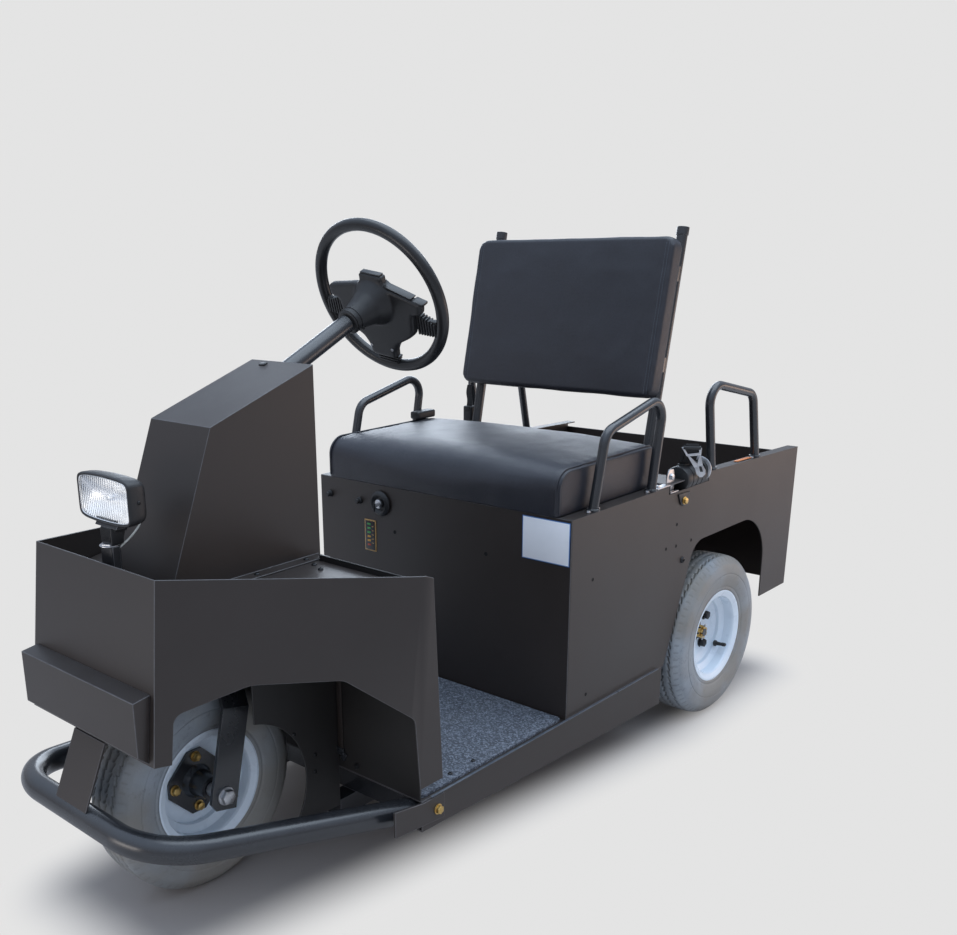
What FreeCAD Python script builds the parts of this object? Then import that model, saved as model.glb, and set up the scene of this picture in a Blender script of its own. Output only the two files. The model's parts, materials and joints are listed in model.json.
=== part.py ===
"""Three-wheeled electric utility vehicle: folded sheet body, one steered wheel in front, two driven behind.

Millimetres.  +Z is up, the vehicle drives towards -Y and its left side is +X.  The ground is Z = 0.
Every body has its own Y = 0 on the front face of the seat box, and is then moved by seatPlane, which
centres the vehicle's length on the origin.
"""
import FreeCAD, Part
import math
import os
import re

import Sketcher

Vector = FreeCAD.Vector

# ---------------------------------------------------------------- driving dimensions
SIZES = {
    # whole vehicle
    "seatPlane": (-47.25, "shift of the seat box front, which centres the length"),
    "bodyWidth": (732, "over the two side panels"),
    "sheet": (3, "body sheet"),
    "gapFit": (0.3, "gap between pieces of different bodies that almost touch"),
    # floor
    "floorTop": (192, "top face of the floor pan"),
    "skirtRear": (95, "depth of the folded floor edge at its rear end"),
    "lipWide": (25, "return lip under the floor edge"),
    "floorFront": (-461, "front end of the floor pan"),
    "floorRear": (398, "rear end of the floor pan"),
    "matThick": (5, "ribbed floor mat"),
    # chassis
    "spineX": (150, "outer face of each spine rail"),
    "spineWide": (40, "width of a spine rail"),
    "spineDeep": (40, "depth of a spine rail"),
    "spineBase": (76, "underside of the spine rails"),
    "kickStart": (440, "where the spine rails rise"),
    "kickEnd": (530, "where they are level again"),
    "tailTop": (292, "top of the rails over the axle"),
    "tailEnd": (1010, "rear end of the spine rails"),
    # cowl
    "cowlFront": (-872, "front panel at its top edge"),
    "cowlHalf": (181, "half width of the front panel at its top edge"),
    "cowlTop": (683, "height of the front panel"),
    "cowlBase": (218, "lower edge of the wings"),
    "frontLean": (57, "how far the front panel comes forward from top to base"),
    "frontFlare": (14, "how much wider the front panel is at its base, each side"),
    "bendTop": (-443, "bend between flared side and wing, at cowlTop"),
    "bendLean": (67, "how far the bend comes forward from top to base"),
    "wingTop": (622, "top of the side panel at the bend"),
    "wingRear": (-423, "rear edge of the wing, at its top"),
    "wingRearBase": (-401, "rear edge of the wing, at its base"),
    "shieldY": (-461, "front face of the leg shield"),
    "deckTop": (607, "deck inside the cowl"),
    "deckFront": (-860, "front edge of the deck"),
    "neckFront": (-668, "front edge of the neck walls"),
    "neckArch": (152, "cut-out of the neck walls around the steered wheel"),
    # bumper
    "boxFront": (-929, "front face of the bumper box"),
    "boxHalf": (176, "half length of the bumper box"),
    "boxTop": (490, "ledge of the bumper box"),
    "boxBase": (394, "lower edge of the bumper box"),
    "tubeR": (24, "bumper tube radius"),
    "tubeWall": (3, "bumper tube wall"),
    "tubeEndY": (-440, "rear ends of the bumper tube"),
    "tubeDrop": (5, "clearance between the tube's ends and the floor pan above them"),
    "tubeUnder": (4, "clearance between those ends and the floor's return lip below them"),
    "tubeNoseX": (220, "front corners of the tube"),
    "tubeNoseY": (-948, "front run of the tube"),
    "tubeRise": (9, "slope of the bumper loop, degrees"),
    "tubeBend": (125, "bend radius of the bumper loop"),
    "strutHalf": (48, "half width of the plate between bumper box and tube"),
    "strutGap": (0.6, "gap between that plate and the tube"),
    "mountFront": (-538, "front end of a bumper mounting plate"),
    "mountRear": (-403, "rear end of that plate"),
    "mountDeep": (52, "depth of that plate"),
    "mountRise": (13, "how far that plate rises to its front"),
    # steering tower
    "towerHalf": (86, "half width of the tower"),
    "towerRear": (-430, "rear face of the tower"),
    "towerTop": (966, "top of the tower at its rear"),
    "towerFoldY": (-672, "fold between top and front"),
    "towerFoldZ": (884, "height of that fold"),
    "towerFoot": (-780, "front of the tower on the deck"),
    "footWide": (28, "foot flange of the tower"),
    # steering column
    "wheelY": (-159, "centre of the steering wheel"),
    "wheelZ": (1068, "height of that centre"),
    "columnAngle": (24.8, "column above the horizontal, degrees"),
    "wheelTurned": (10.5, "how far the steering wheel stands turned while the fork is straight, degrees"),
    "jacketR": (18, "column jacket radius"),
    "jacketLow": (330, "lower end of the jacket, down the column from the wheel's centre"),
    "bootLow": (-107, "lower end of the hub's boot, along the column"),
    "shellBack": (-24, "back of the moulded hub shell, along the column"),
    "shaftR": (11, "steering shaft radius"),
    "runFit": (0.05, "radial running clearance"),
    "rimR": (155, "steering wheel, to the middle of its rim"),
    "gripR": (12.5, "rim section radius"),
    "hubR": (50, "radius of the steering wheel hub"),
    "armEnd": (128, "end of the hub shell's lower arm"),
    # lamp
    "lampHalf": (77, "half width of the headlamp"),
    "lampFront": (-838, "front of the lens"),
    "lampDeep": (40, "depth of the housing"),
    "lampTop": (812, "top of the housing"),
    "lampBase": (745, "underside of the housing"),
    "bezelWide": (8, "frame around the lens"),
    "postFront": (-840, "front face of the lamp post"),
    "postDeep": (14, "depth of the lamp post"),
    "postHalf": (18, "half width of the lamp post"),
    "postTop": (698, "top of the lamp post"),
    "leadR": (2.5, "radius of the lamp's lead"),
    "leadX": (12, "lead from the centre line"),
    "leadLift": (7, "lead's end over the lamp's underside"),
    "leadOut": (26, "how far the lead stands out behind the lamp"),
    "leadBend": (9, "bend radius of the lead"),
    # front wheel and fork
    "tyreR": (204, "tyre radius"),
    "tyreHalf": (59, "half width of a tyre"),
    "beadR": (102, "rim seat radius"),
    "lipR": (117, "rim lip radius"),
    "rimHalf": (50, "half width of a rim over its lips"),
    "frontDisc": (1, "outer face of the front wheel's disc"),
    "rearDisc": (4, "outer face of a rear wheel's disc at its edge"),
    "rearDish": (16, "how far the disc is set in at the hub"),
    "discThick": (4, "wheel disc"),
    "rimThick": (3, "wall of a rim"),
    "wellDeep": (14, "drop centre of a rim"),
    "flangeThick": (6, "hub flange"),
    "flangeReach": (66, "hub flange, centre to corner"),
    "frontAxle": (-700, "front axle"),
    "rake": (13, "lean of the steering axis, degrees"),
    "legIn": (86, "inner face of a fork leg"),
    "legThick": (8, "fork leg"),
    "legHalf": (30, "half width of a fork leg"),
    "legEnd": (28, "end of a leg below the axle"),
    "legBend": (167, "where a leg bends inwards"),
    "legLean": (33, "inward lean of the upper leg, degrees"),
    "crownAt": (222, "underside of the fork crown, along the steering axis"),
    "crownThick": (12, "fork crown"),
    "stemR": (17, "fork stem radius"),
    "stemLong": (150, "fork stem"),
    "headR": (26, "head tube radius"),
    "axleR": (8, "front axle radius"),
    "barrelHalf": (52, "half length of the front hub"),
    # rear wheels
    "rearAxle": (643, "rear axle"),
    "rearTrack": (330, "middle of a rear wheel from the centre line"),
    "halfShaftR": (14, "driven half shaft radius"),
    "tubeAxleR": (30, "axle tube radius"),
    "caseR": (84, "gear case radius"),
    "motorAhead": (168, "motor ahead of the axle"),
    "motorR": (66, "motor radius"),
    # seat box and cargo box
    "seatTop": (630, "top flange beside the seat"),
    "cargoStart": (572, "front end of the cargo box's top flange"),
    "cargoTop": (634, "top flange at the front of the cargo box"),
    "cargoDrop": (15, "fall of that flange to the rear"),
    "flangeWide": (28, "folded top flange"),
    "cargoRear": (1066, "rear end of the side panels"),
    "tailLean": (10, "how far the tail comes in towards its lower edge"),
    "panelBase": (238, "lower edge behind the wheel arch"),
    "archFront": (405, "wheel arch at the floor, front"),
    "archLean": (117, "how far the arch's front edge leans back over its height"),
    "archTop": (473, "top of the wheel arch"),
    "archRear": (904, "rear edge of the wheel arch"),
    "archFrontR": (60, "round front corner of the arch"),
    "archRearR": (130, "round rear corner of the arch"),
    "stepAt": (385, "rear end of the flange beside the seat"),
    "notchZ": (612, "top edge of the panel between the two flanges"),
    "cargoFront": (480, "rear face of the wall behind the seat"),
    "shelfTop": (633, "shelf behind the seat"),
    "cargoFloor": (497, "cargo floor"),
    "rearWallTop": (603, "top edge of the rear wall"),
    "batteryHalf": (258, "half width of the battery pack"),
    "batteryTall": (255, "height of the battery pack"),
    # seat
    "cushionFront": (-5, "front face of the cushion"),
    "cushionDeep": (375, "depth of the cushion"),
    "cushionTall": (99, "height of the cushion"),
    "cushionNose": (44, "round front edge of the cushion"),
    "backHalf": (274, "half width of the backrest"),
    "backTall": (356, "height of the backrest along its face"),
    "backThick": (46, "thickness of the backrest"),
    "backFootY": (433, "front face of the backrest at its lower edge"),
    "backFootZ": (820, "lower edge of the backrest"),
    "recline": (12.1, "recline of the backrest, degrees"),
    "postX": (258, "backrest posts from the centre line"),
    "postR": (12.5, "post radius"),
    "postOver": (34, "how far the posts stand over the backrest"),
    "capLong": (18, "length of a post's cap"),
    # hoops on the flanges
    "hoopInset": (12, "hoop tubes from the side of the body"),
    "hoopR": (10.5, "hoop tube radius"),
    "hoopLong": (210, "height of a hoop's long leg"),
    "hoopShort": (158, "height of its short leg"),
    "hoopSpan": (232, "distance between its feet"),
    "hoopLean": (38, "lean of both legs over their height"),
    "hoopBend": (40, "bend radius"),
    "hipFoot": (326, "long foot of a hip restraint"),
    "cargoFoot": (603, "long foot of a cargo hoop"),
    "footR": (14, "radius of the disc under a hoop's foot"),
    "reelFront": (481, "front face of the belt reel's case"),
    "reelLong": (90, "length of that case"),
    "reelWide": (54, "width of that case"),
    "reelTall": (51, "height of that case"),
    "reelRound": (21, "rounding of its top"),
    "tongueY": (500, "belt tongue, to its middle"),
    "tongueZ": (698, "height of that middle"),
    "tongueThick": (3, "thickness of the tongue"),
    "buckleX": (-322, "buckle on the cushion, from the centre line"),
    "buckleFront": (298, "front end of that buckle"),
    "buckleLong": (68, "length of that buckle"),
    "buckleWide": (30, "width of both buckles"),
    "buckleThick": (20, "thickness of both buckles"),
    "stalkX": (-291, "buckle on the shelf, from the centre line"),
    "stalkFront": (476, "front face of that buckle"),
    "stalkTall": (112, "height of that buckle with its stalk"),
    "keyX": (-162, "key switch from the centre line"),
    "keyDrop": (43, "key switch below the seat box's top"),
}

document = FreeCAD.newDocument("UtilityVehicle")
sheet = document.addObject("Spreadsheet::Sheet", "Sizes")
for row, (alias, (number, note)) in enumerate(SIZES.items(), start=1):
    sheet.set(f"A{row}", note)
    sheet.set(f"B{row}", str(number))
    sheet.setAlias(f"B{row}", alias)
document.recompute()

NODES = []


# ---------------------------------------------------------------- helpers
def bound(text):
    """A formula in sheet names, written as other objects must read it."""
    return re.sub(r"[A-Za-z]\w*", lambda m: "Sizes." + m[0] if m[0] in SIZES else m[0], str(text))


def value(text):
    """The present number of a formula in sheet names."""
    return float(sheet.evalExpression(bound(text).replace("Sizes.", "")))


def place(thing, x="0", y="0", z="0", turn=None, axis=(1, 0, 0)):
    """Stands a piece at x, y, z from the seat box front, turned by an angle about one axis."""
    thing.setExpression("Placement.Base.x", bound(x))
    thing.setExpression("Placement.Base.y", bound(f"seatPlane + ({y})"))
    thing.setExpression("Placement.Base.z", bound(z))
    if turn is not None:
        thing.Placement.Rotation = FreeCAD.Rotation(Vector(*axis), 0)
        thing.setExpression("Placement.Rotation.Angle", bound(turn))
        thing.Placement = FreeCAD.Placement(Vector(value(x), value(f"seatPlane + ({y})"), value(z)),
                                            FreeCAD.Rotation(Vector(*axis), value(turn)))


def body(name, **where):
    """An empty body for one sub-part."""
    made = document.addObject("PartDesign::Body", name)
    made.Label = name
    made.AllowCompound = True
    place(made, **where)
    NODES.append(made)
    return made


def plane(owner, role):
    """One of a body's own origin planes."""
    return next(f for f in owner.Origin.OriginFeatures if f.Role == role)


def blank(owner, role, away):
    """An empty sketch on an origin plane, moved off it by the formula away."""
    sketch = owner.newObject("Sketcher::SketchObject", owner.Name + "_sketch")
    sketch.AttachmentSupport = (plane(owner, role), "")
    sketch.MapMode = "FlatFace"
    if away is not None:
        sketch.setExpression("AttachmentOffset.Base.z", bound(away))
    return sketch


def hold(sketch, kind, *where, size):
    """Adds one dimension to a sketch and binds it to the sheet."""
    number = sketch.addConstraint(Sketcher.Constraint(kind, *where, value(size)))
    sketch.setExpression(f"Constraints[{number}]", bound(size))


def add_outline(sketch, points):
    """A closed outline of straight lines, each corner held by its two coordinates."""
    first = sketch.GeometryCount
    corners = [Vector(value(x), value(y), 0) for x, y in points]
    count = len(corners)
    for i in range(count):
        sketch.addGeometry(Part.LineSegment(corners[i], corners[(i + 1) % count]), False)
    for i in range(count):
        sketch.addConstraint(Sketcher.Constraint("Coincident", first + i, 2, first + (i + 1) % count, 1))
    for i, (x, y) in enumerate(points):
        hold(sketch, "DistanceX", -1, 1, first + i, 1, size=x)
        hold(sketch, "DistanceY", -1, 1, first + i, 1, size=y)


def outline(owner, role, points, away=None):
    sketch = blank(owner, role, away)
    add_outline(sketch, points)
    return sketch


def circles(owner, role, rounds, away=None):
    """Circles given as x, y and radius."""
    sketch = blank(owner, role, away)
    for x, y, radius in rounds:
        ring = Part.Circle(Vector(value(x), value(y), 0), Vector(0, 0, 1), value(radius))
        i = sketch.addGeometry(ring, False)
        hold(sketch, "DistanceX", -1, 1, i, 3, size=x)
        hold(sketch, "DistanceY", -1, 1, i, 3, size=y)
        hold(sketch, "Radius", i, size=radius)
    return sketch


def pad(owner, sketch, length, both=False, back=False):
    feature = owner.newObject("PartDesign::Pad", owner.Name + "_pad")
    feature.Profile = sketch
    feature.setExpression("Length", bound(length))
    feature.Midplane = both
    feature.Reversed = back
    return feature


def pocket(owner, sketch, length=None, both=False, back=False):
    """Cuts a sketch's shape out, through everything where no length is given."""
    feature = owner.newObject("PartDesign::Pocket", owner.Name + "_pocket")
    feature.Profile = sketch
    if length is None:
        feature.Type = "ThroughAll"
        feature.Midplane = both
    else:
        feature.setExpression("Length", bound(length))
        feature.Midplane = both
    feature.Reversed = back
    return feature


def spin(owner, sketch, axis="H_Axis"):
    """A full revolution about one of the sketch's own axes."""
    feature = owner.newObject("PartDesign::Revolution", owner.Name + "_turned")
    feature.Profile = sketch
    feature.ReferenceAxis = (sketch, [axis])
    feature.Angle = 360
    return feature


def mirror(owner, features, role="YZ_Plane"):
    """Repeats features on the other side of an origin plane."""
    feature = owner.newObject("PartDesign::Mirrored", owner.Name + "_mirrored")
    feature.Originals = features
    feature.MirrorPlane = (plane(owner, role), [""])
    owner.Tip = feature
    return feature


def round_edges(owner, radius, wanted):
    """Fillets the edges of the finished shape that the test wanted picks."""
    document.recompute()
    base = owner.Tip
    names = [f"Edge{i}" for i, edge in enumerate(base.Shape.Edges, start=1) if wanted(edge)]
    feature = owner.newObject("PartDesign::Fillet", owner.Name + "_rounded")
    feature.Base = (base, names)
    feature.setExpression("Radius", bound(radius))
    return feature


def middle(edge):
    return edge.valueAt((edge.FirstParameter + edge.LastParameter) / 2)


def at_corner(y, z):
    """Picks the short edges across the sheet at y, z."""
    spot = Vector(0, value(y), value(z))

    def wanted(edge):
        here = middle(edge)
        return along(edge, (1, 0, 0)) and Vector(0, here.y, here.z).distanceToPoint(spot) < 1
    return wanted


def along(edge, direction):
    """True where a straight edge runs along the direction."""
    if edge.Curve.TypeId != "Part::GeomLine":
        return False
    return abs(abs(edge.tangentAt(edge.FirstParameter).dot(Vector(*direction))) - 1) < 1e-6


def hold_corner(sketch, runs, x, y):
    """Holds the point where two runs would meet, as a construction point, by its coordinates."""
    corner = sketch.addGeometry(Part.Point(Vector(value(x), value(y), 0)), True)
    for run in runs:
        sketch.addConstraint(Sketcher.Constraint("PointOnObject", corner, 1, run))
    hold(sketch, "DistanceX", -1, 1, corner, 1, size=x)
    hold(sketch, "DistanceY", -1, 1, corner, 1, size=y)


def bend_ends(before, mark, after, bend):
    """Where an arc of radius bend leaves the two runs at a corner, and the arc's crest."""
    back = (before - mark).normalize()
    ahead = (after - mark).normalize()
    half = back.getAngle(ahead) / 2
    inward = (back + ahead).normalize()
    centre = mark + inward * (bend / math.sin(half))
    reach = bend / math.tan(half)
    return mark + back * reach, mark + ahead * reach, centre - inward * bend


def add_bend(sketch, run_in, run_out, ends, radius):
    """A tangent arc of the named radius between two runs."""
    first, last, crest = ends
    arc = sketch.addGeometry(Part.Arc(first, crest, last), False)
    near, far = (1, 2) if sketch.getPoint(arc, 1).distanceToPoint(first) < 1e-6 else (2, 1)
    sketch.addConstraint(Sketcher.Constraint("Tangent", run_in, 2, arc, near))
    sketch.addConstraint(Sketcher.Constraint("Tangent", run_out, 1, arc, far))
    hold(sketch, "Radius", arc, size=radius)


def round_outline(owner, role, corners, away=None):
    """A closed outline of corners x, y, radius: a corner with a radius is an arc between its sides."""
    sketch = blank(owner, role, away)
    marks = [Vector(value(x), value(y), 0) for x, y, _ in corners]
    count = len(marks)
    ends = [bend_ends(marks[i - 1], marks[i], marks[(i + 1) % count], value(radius)) if radius else
            (marks[i], marks[i], None) for i, (_, _, radius) in enumerate(corners)]
    runs = [sketch.addGeometry(Part.LineSegment(ends[i][1], ends[(i + 1) % count][0]), False)
            for i in range(count)]
    for i, (x, y, radius) in enumerate(corners):
        if radius:
            add_bend(sketch, runs[i - 1], runs[i], ends[i], radius)
            hold_corner(sketch, (runs[i - 1], runs[i]), x, y)
        else:
            sketch.addConstraint(Sketcher.Constraint("Coincident", runs[i - 1], 2, runs[i], 1))
            hold(sketch, "DistanceX", -1, 1, runs[i], 1, size=x)
            hold(sketch, "DistanceY", -1, 1, runs[i], 1, size=y)
    return sketch


def bent_path(owner, role, corners, radius, away=None):
    """An open path of straight runs joined by tangent arcs of one radius."""
    sketch = blank(owner, role, away)
    marks = [Vector(value(x), value(y), 0) for x, y in corners]
    last = len(marks) - 1
    ends = [(marks[0], marks[0], None)]
    ends += [bend_ends(marks[i - 1], marks[i], marks[i + 1], value(radius)) for i in range(1, last)]
    ends += [(marks[last], marks[last], None)]
    runs = [sketch.addGeometry(Part.LineSegment(ends[i][1], ends[i + 1][0]), False) for i in range(last)]
    for i in range(1, last):
        add_bend(sketch, runs[i - 1], runs[i], ends[i], radius)
        hold_corner(sketch, (runs[i - 1], runs[i]), *corners[i])
    for run, end, (x, y) in ((runs[0], 1, corners[0]), (runs[-1], 2, corners[-1])):
        hold(sketch, "DistanceX", -1, 1, run, end, size=x)
        hold(sketch, "DistanceY", -1, 1, run, end, size=y)
    return sketch


def pipe(owner, profile, path):
    feature = owner.newObject("PartDesign::AdditivePipe", owner.Name + "_pipe")
    feature.Profile = profile
    feature.Spine = path
    return feature


def loft(owner, first, second):
    feature = owner.newObject("PartDesign::AdditiveLoft", owner.Name + "_loft")
    feature.Profile = first
    feature.Sections = [second]
    feature.Ruled = True
    return feature


def box(x0, x1, y0, y1):
    """The four corners of a rectangle."""
    return [(x0, y0), (x1, y0), (x1, y1), (x0, y1)]


def flange(y):
    """Height of the cargo box's sloping top flange at y."""
    return f"(cargoTop - cargoDrop * (({y}) - cargoStart) / (cargoRear - cargoStart))"


HOOP_X = "(bodyWidth / 2 - hoopInset)"
CUSHION_HALF = "(bodyWidth / 2 - flangeWide)"
HOOP_FALL = "(hoopSpan * cargoDrop / (cargoRear - cargoStart))"
TUBE_END_X = "(bodyWidth / 2 - sheet - tubeR - gapFit)"
TUBE_END_Z = "(floorTop - sheet - tubeR - tubeDrop)"
SKIRT_FRONT = "(2 * sheet + tubeDrop + 2 * tubeR + tubeUnder)"


# ---------------------------------------------------------------- floor and chassis
def floor_section(skirt):
    """The floor sheet seen from the front: flat top, two skirts of one depth and their return lips."""
    half = "bodyWidth / 2"
    inner = f"({half} - sheet)"
    low = f"(floorTop - {skirt})"
    lip = f"{half} - lipWide"
    right = [(half, "floorTop"), (half, low), (lip, low), (lip, f"{low} + sheet"),
             (inner, f"{low} + sheet"), (inner, "floorTop - sheet")]
    return right + [(f"-({x})", z) for x, z in reversed(right)]


def make_floor_pan():
    """Floor sheet whose long edges are folded down and back in under it, deeper towards the rear."""
    pan = body("floor_pan")
    front = outline(pan, "XZ_Plane", floor_section(SKIRT_FRONT), "-floorFront")
    rear = outline(pan, "XZ_Plane", floor_section("skirtRear"), "-floorRear")
    loft(pan, front, rear)


def make_floor_mat():
    mat = body("floor_mat")
    edge = "(bodyWidth / 2 - 8)"
    shape = box(f"-{edge}", edge, "floorFront + sheet + 4", "-3")
    pad(mat, outline(mat, "XY_Plane", shape, "floorTop"), "matThick")
    round_edges(mat, "12", lambda edge: along(edge, (0, 0, 1)))


def make_chassis_frame():
    """Two spine rails that rise over the rear axle, tied by cross members under the floor."""
    frame = body("chassis_frame")
    top = "(spineBase + spineDeep)"
    rail = [("floorFront", "spineBase"), ("kickStart", "spineBase"), ("kickEnd", "tailTop - spineDeep"),
            ("tailEnd", "tailTop - spineDeep"), ("tailEnd", "tailTop"), ("kickEnd - 8", "tailTop"),
            ("kickStart - 8", top), ("floorFront", top)]
    pad(frame, outline(frame, "YZ_Plane", rail, "spineX - spineWide"), "spineWide")
    pad(frame, outline(frame, "YZ_Plane", rail, "-spineX"), "spineWide")
    inner = "(bodyWidth / 2 - lipWide - 2)"
    for y in ("tubeEndY + tubeR", "-20", "floorRear - 46"):
        tie = box(f"-{inner}", inner, y, f"{y} + 40")
        pad(frame, outline(frame, "XY_Plane", tie, top), f"floorTop - sheet - {top}")
    tail = box("-spineX + 5", "spineX - 5", "tailEnd - 40", "tailEnd")
    pad(frame, outline(frame, "XY_Plane", tail, "tailTop - spineDeep"), "spineDeep")


# ---------------------------------------------------------------- cowl
def cowl_section(drop):
    """Half widths and depths of the cowl's folded wall at a height drop below cowlTop."""
    share = f"({drop}) / (cowlTop - cowlBase)"
    return {
        "front": f"(cowlFront - frontLean * {share})",
        "half": f"(cowlHalf + frontFlare * {share})",
        "bend": f"(bendTop - bendLean * {share})",
    }


def cowl_wall(drop):
    """The folded wall seen from above: front panel, two flared sides and two wings."""
    at = cowl_section(drop)
    flare = f"atan2(bodyWidth / 2 - {at['half']}; {at['bend']} - {at['front']})"
    corner = f"(sheet * tan((90 deg - {flare}) / 2))"
    bend = f"(sheet * tan({flare} / 2))"
    side = "bodyWidth / 2"
    outside = [(at["half"], at["front"]), (side, at["bend"]), (side, "wingRearBase")]
    inside = [(f"{side} - sheet", "wingRearBase"), (f"{side} - sheet", f"{at['bend']} + {bend}"),
              (f"{at['half']} - {corner}", f"{at['front']} + sheet")]
    other = [(f"-({x})", y) for x, y in outside + inside]
    return outside + inside + list(reversed(other))


def make_front_cowl():
    """Tray of folded sheet: narrow leaning front, flared sides with a wheel cut-out, wings behind."""
    cowl = body("front_cowl")
    low = outline(cowl, "XY_Plane", cowl_wall("cowlTop - cowlBase"), "cowlBase")
    high = outline(cowl, "XY_Plane", cowl_wall("0"), "cowlTop")
    loft(cowl, low, high)
    top = [("cowlFront - 5", "cowlTop"), ("bendTop", "wingTop"), ("wingRear", "wingTop - 8"),
           ("wingRear + 40", "wingTop - 8"), ("wingRear + 40", "cowlTop + 20"),
           ("cowlFront - 5", "cowlTop + 20")]
    pocket(cowl, outline(cowl, "YZ_Plane", top), both=True)
    rear = [("wingRear", "wingTop + 60"), ("wingRear", "wingTop - 8"), ("wingRearBase", "cowlBase"),
            ("wingRearBase + 40", "cowlBase"), ("wingRearBase + 40", "wingTop + 60")]
    pocket(cowl, outline(cowl, "YZ_Plane", rear), both=True)
    wheel = [("cowlFront - 120", "cowlBase - 10", None), ("cowlFront - 120", "boxBase - 20", None),
             ("cowlFront - 10", "boxBase - 20", None), ("cowlFront + 2", "boxBase + 62", "22"),
             ("cowlFront + 123", "boxBase + 90", "60"), ("cowlFront + 274", "boxBase + 68", "30"),
             ("shieldY - 15", "boxBase - 33", "24"), ("shieldY - 2", "cowlBase - 10", None)]
    pocket(cowl, round_outline(cowl, "YZ_Plane", wheel), both=True)


def make_leg_shield():
    """Upright sheet across the vehicle that closes the cowl towards the driver's feet."""
    shield = body("leg_shield")
    edge = "(bodyWidth / 2 - sheet - 1)"
    notch = "(towerHalf + footWide + 1)"
    sill = "(deckTop - sheet - gapFit)"
    right = [(edge, "floorTop"), (edge, "wingTop - 90"), (f"{edge} - 6", "wingTop - 4"),
             (notch, "wingTop - 4"), (notch, sill)]
    shape = right + [(f"-({x})", z) for x, z in reversed(right)]
    pad(shield, outline(shield, "XZ_Plane", shape, "-shieldY"), "sheet", back=True)


def make_cowl_deck():
    """Deck inside the cowl that carries the steering tower."""
    deck = body("cowl_deck")
    at = cowl_section("cowlTop - deckTop")
    run = f"((bodyWidth / 2 - {at['half']}) / ({at['bend']} - {at['front']}))"
    rear = f"({at['half']} + (shieldY - 1 - {at['front']}) * {run} - 5)"
    front = f"({at['half']} + (deckFront - {at['front']}) * {run} - 5)"
    tab = "(towerHalf + footWide)"
    right = [(front, "deckFront"), (rear, "shieldY - gapFit"), (tab, "shieldY - gapFit"), (tab, "towerRear")]
    shape = right + [(f"-{x}", y) for x, y in reversed(right)]
    pad(deck, outline(deck, "XY_Plane", shape, "deckTop - sheet"), "sheet")
    hole = box("-towerHalf + 14", "towerHalf - 14", "towerFoot + 40", "towerRear - 60")
    pocket(deck, outline(deck, "XY_Plane", hole, "deckTop"), "sheet * 2")


def make_neck_walls():
    """Two upright walls from the spine rails to the deck, which hold the head tube."""
    neck = body("neck_walls")
    wall = [("neckFront", "spineBase + 30"), ("shieldY - gapFit", "spineBase + 30"),
            ("shieldY - gapFit", "deckTop - sheet"), ("neckFront", "deckTop - sheet")]
    pad(neck, outline(neck, "YZ_Plane", wall, "spineX - sheet"), "sheet")
    pad(neck, outline(neck, "YZ_Plane", wall, "-spineX"), "sheet")
    pocket(neck, circles(neck, "YZ_Plane", [("frontAxle", "tyreR", "neckArch")]), both=True)


def make_head_tube():
    """Bearing tube of the steering axis on a cross plate between the neck walls."""
    head = body("head_tube", y="frontAxle", z="tyreR", turn="-rake")
    low = "(crownAt + crownThick + 8)"
    tall = "(stemLong - 16)"
    pad(head, circles(head, "XY_Plane", [("0", "0", "headR")], low), tall)
    for lift in ("12", "stemLong - 40"):
        web = box("-(spineX - sheet - gapFit)", "spineX - sheet - gapFit", "-headR - 14", "headR + 14")
        pad(head, outline(head, "XY_Plane", web, f"{low} + {lift}"), "8")
    bore = circles(head, "XY_Plane", [("0", "0", "stemR + runFit")], f"{low} + {tall} + 5")
    pocket(head, bore, f"{tall} + 10")


# ---------------------------------------------------------------- bumper
def make_bumper_box():
    """Folded ledge across the front panel."""
    ledge = body("bumper_box")
    low = cowl_section("cowlTop - boxBase + 16")["front"]
    high = cowl_section("cowlTop - boxTop - 5")["front"]
    section = [(f"{low} - gapFit", "boxBase - 16"), (f"{high} - gapFit", "boxTop + 5"),
               ("boxFront", "boxTop"), ("boxFront", "boxBase")]
    pad(ledge, outline(ledge, "YZ_Plane", section), "2 * boxHalf", both=True)
    hollow = [(f"{low} + 10", "boxBase - 40"), (f"{high} + 10", "boxTop - sheet"),
              ("boxFront + sheet", "boxTop - sheet"), ("boxFront + sheet", "boxBase - 40")]
    pocket(ledge, outline(ledge, "YZ_Plane", hollow), "2 * (boxHalf - sheet)", both=True)


def make_bumper_tube():
    """Round bar in one loop about the nose, rising to the front."""
    loop = body("bumper_tube", y="tubeEndY", z=TUBE_END_Z, turn="-tubeRise")
    run = "((tubeNoseY - tubeEndY) / cos(tubeRise * 1 deg))"
    path = [(TUBE_END_X, "0"), ("tubeNoseX", run), ("-tubeNoseX", run), (f"-{TUBE_END_X}", "0")]
    spine = bent_path(loop, "XY_Plane", path, "tubeBend")
    ring = circles(loop, "XZ_Plane", [(TUBE_END_X, "0", "tubeR"), (TUBE_END_X, "0", "tubeR - tubeWall")])
    pipe(loop, ring, spine)


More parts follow.
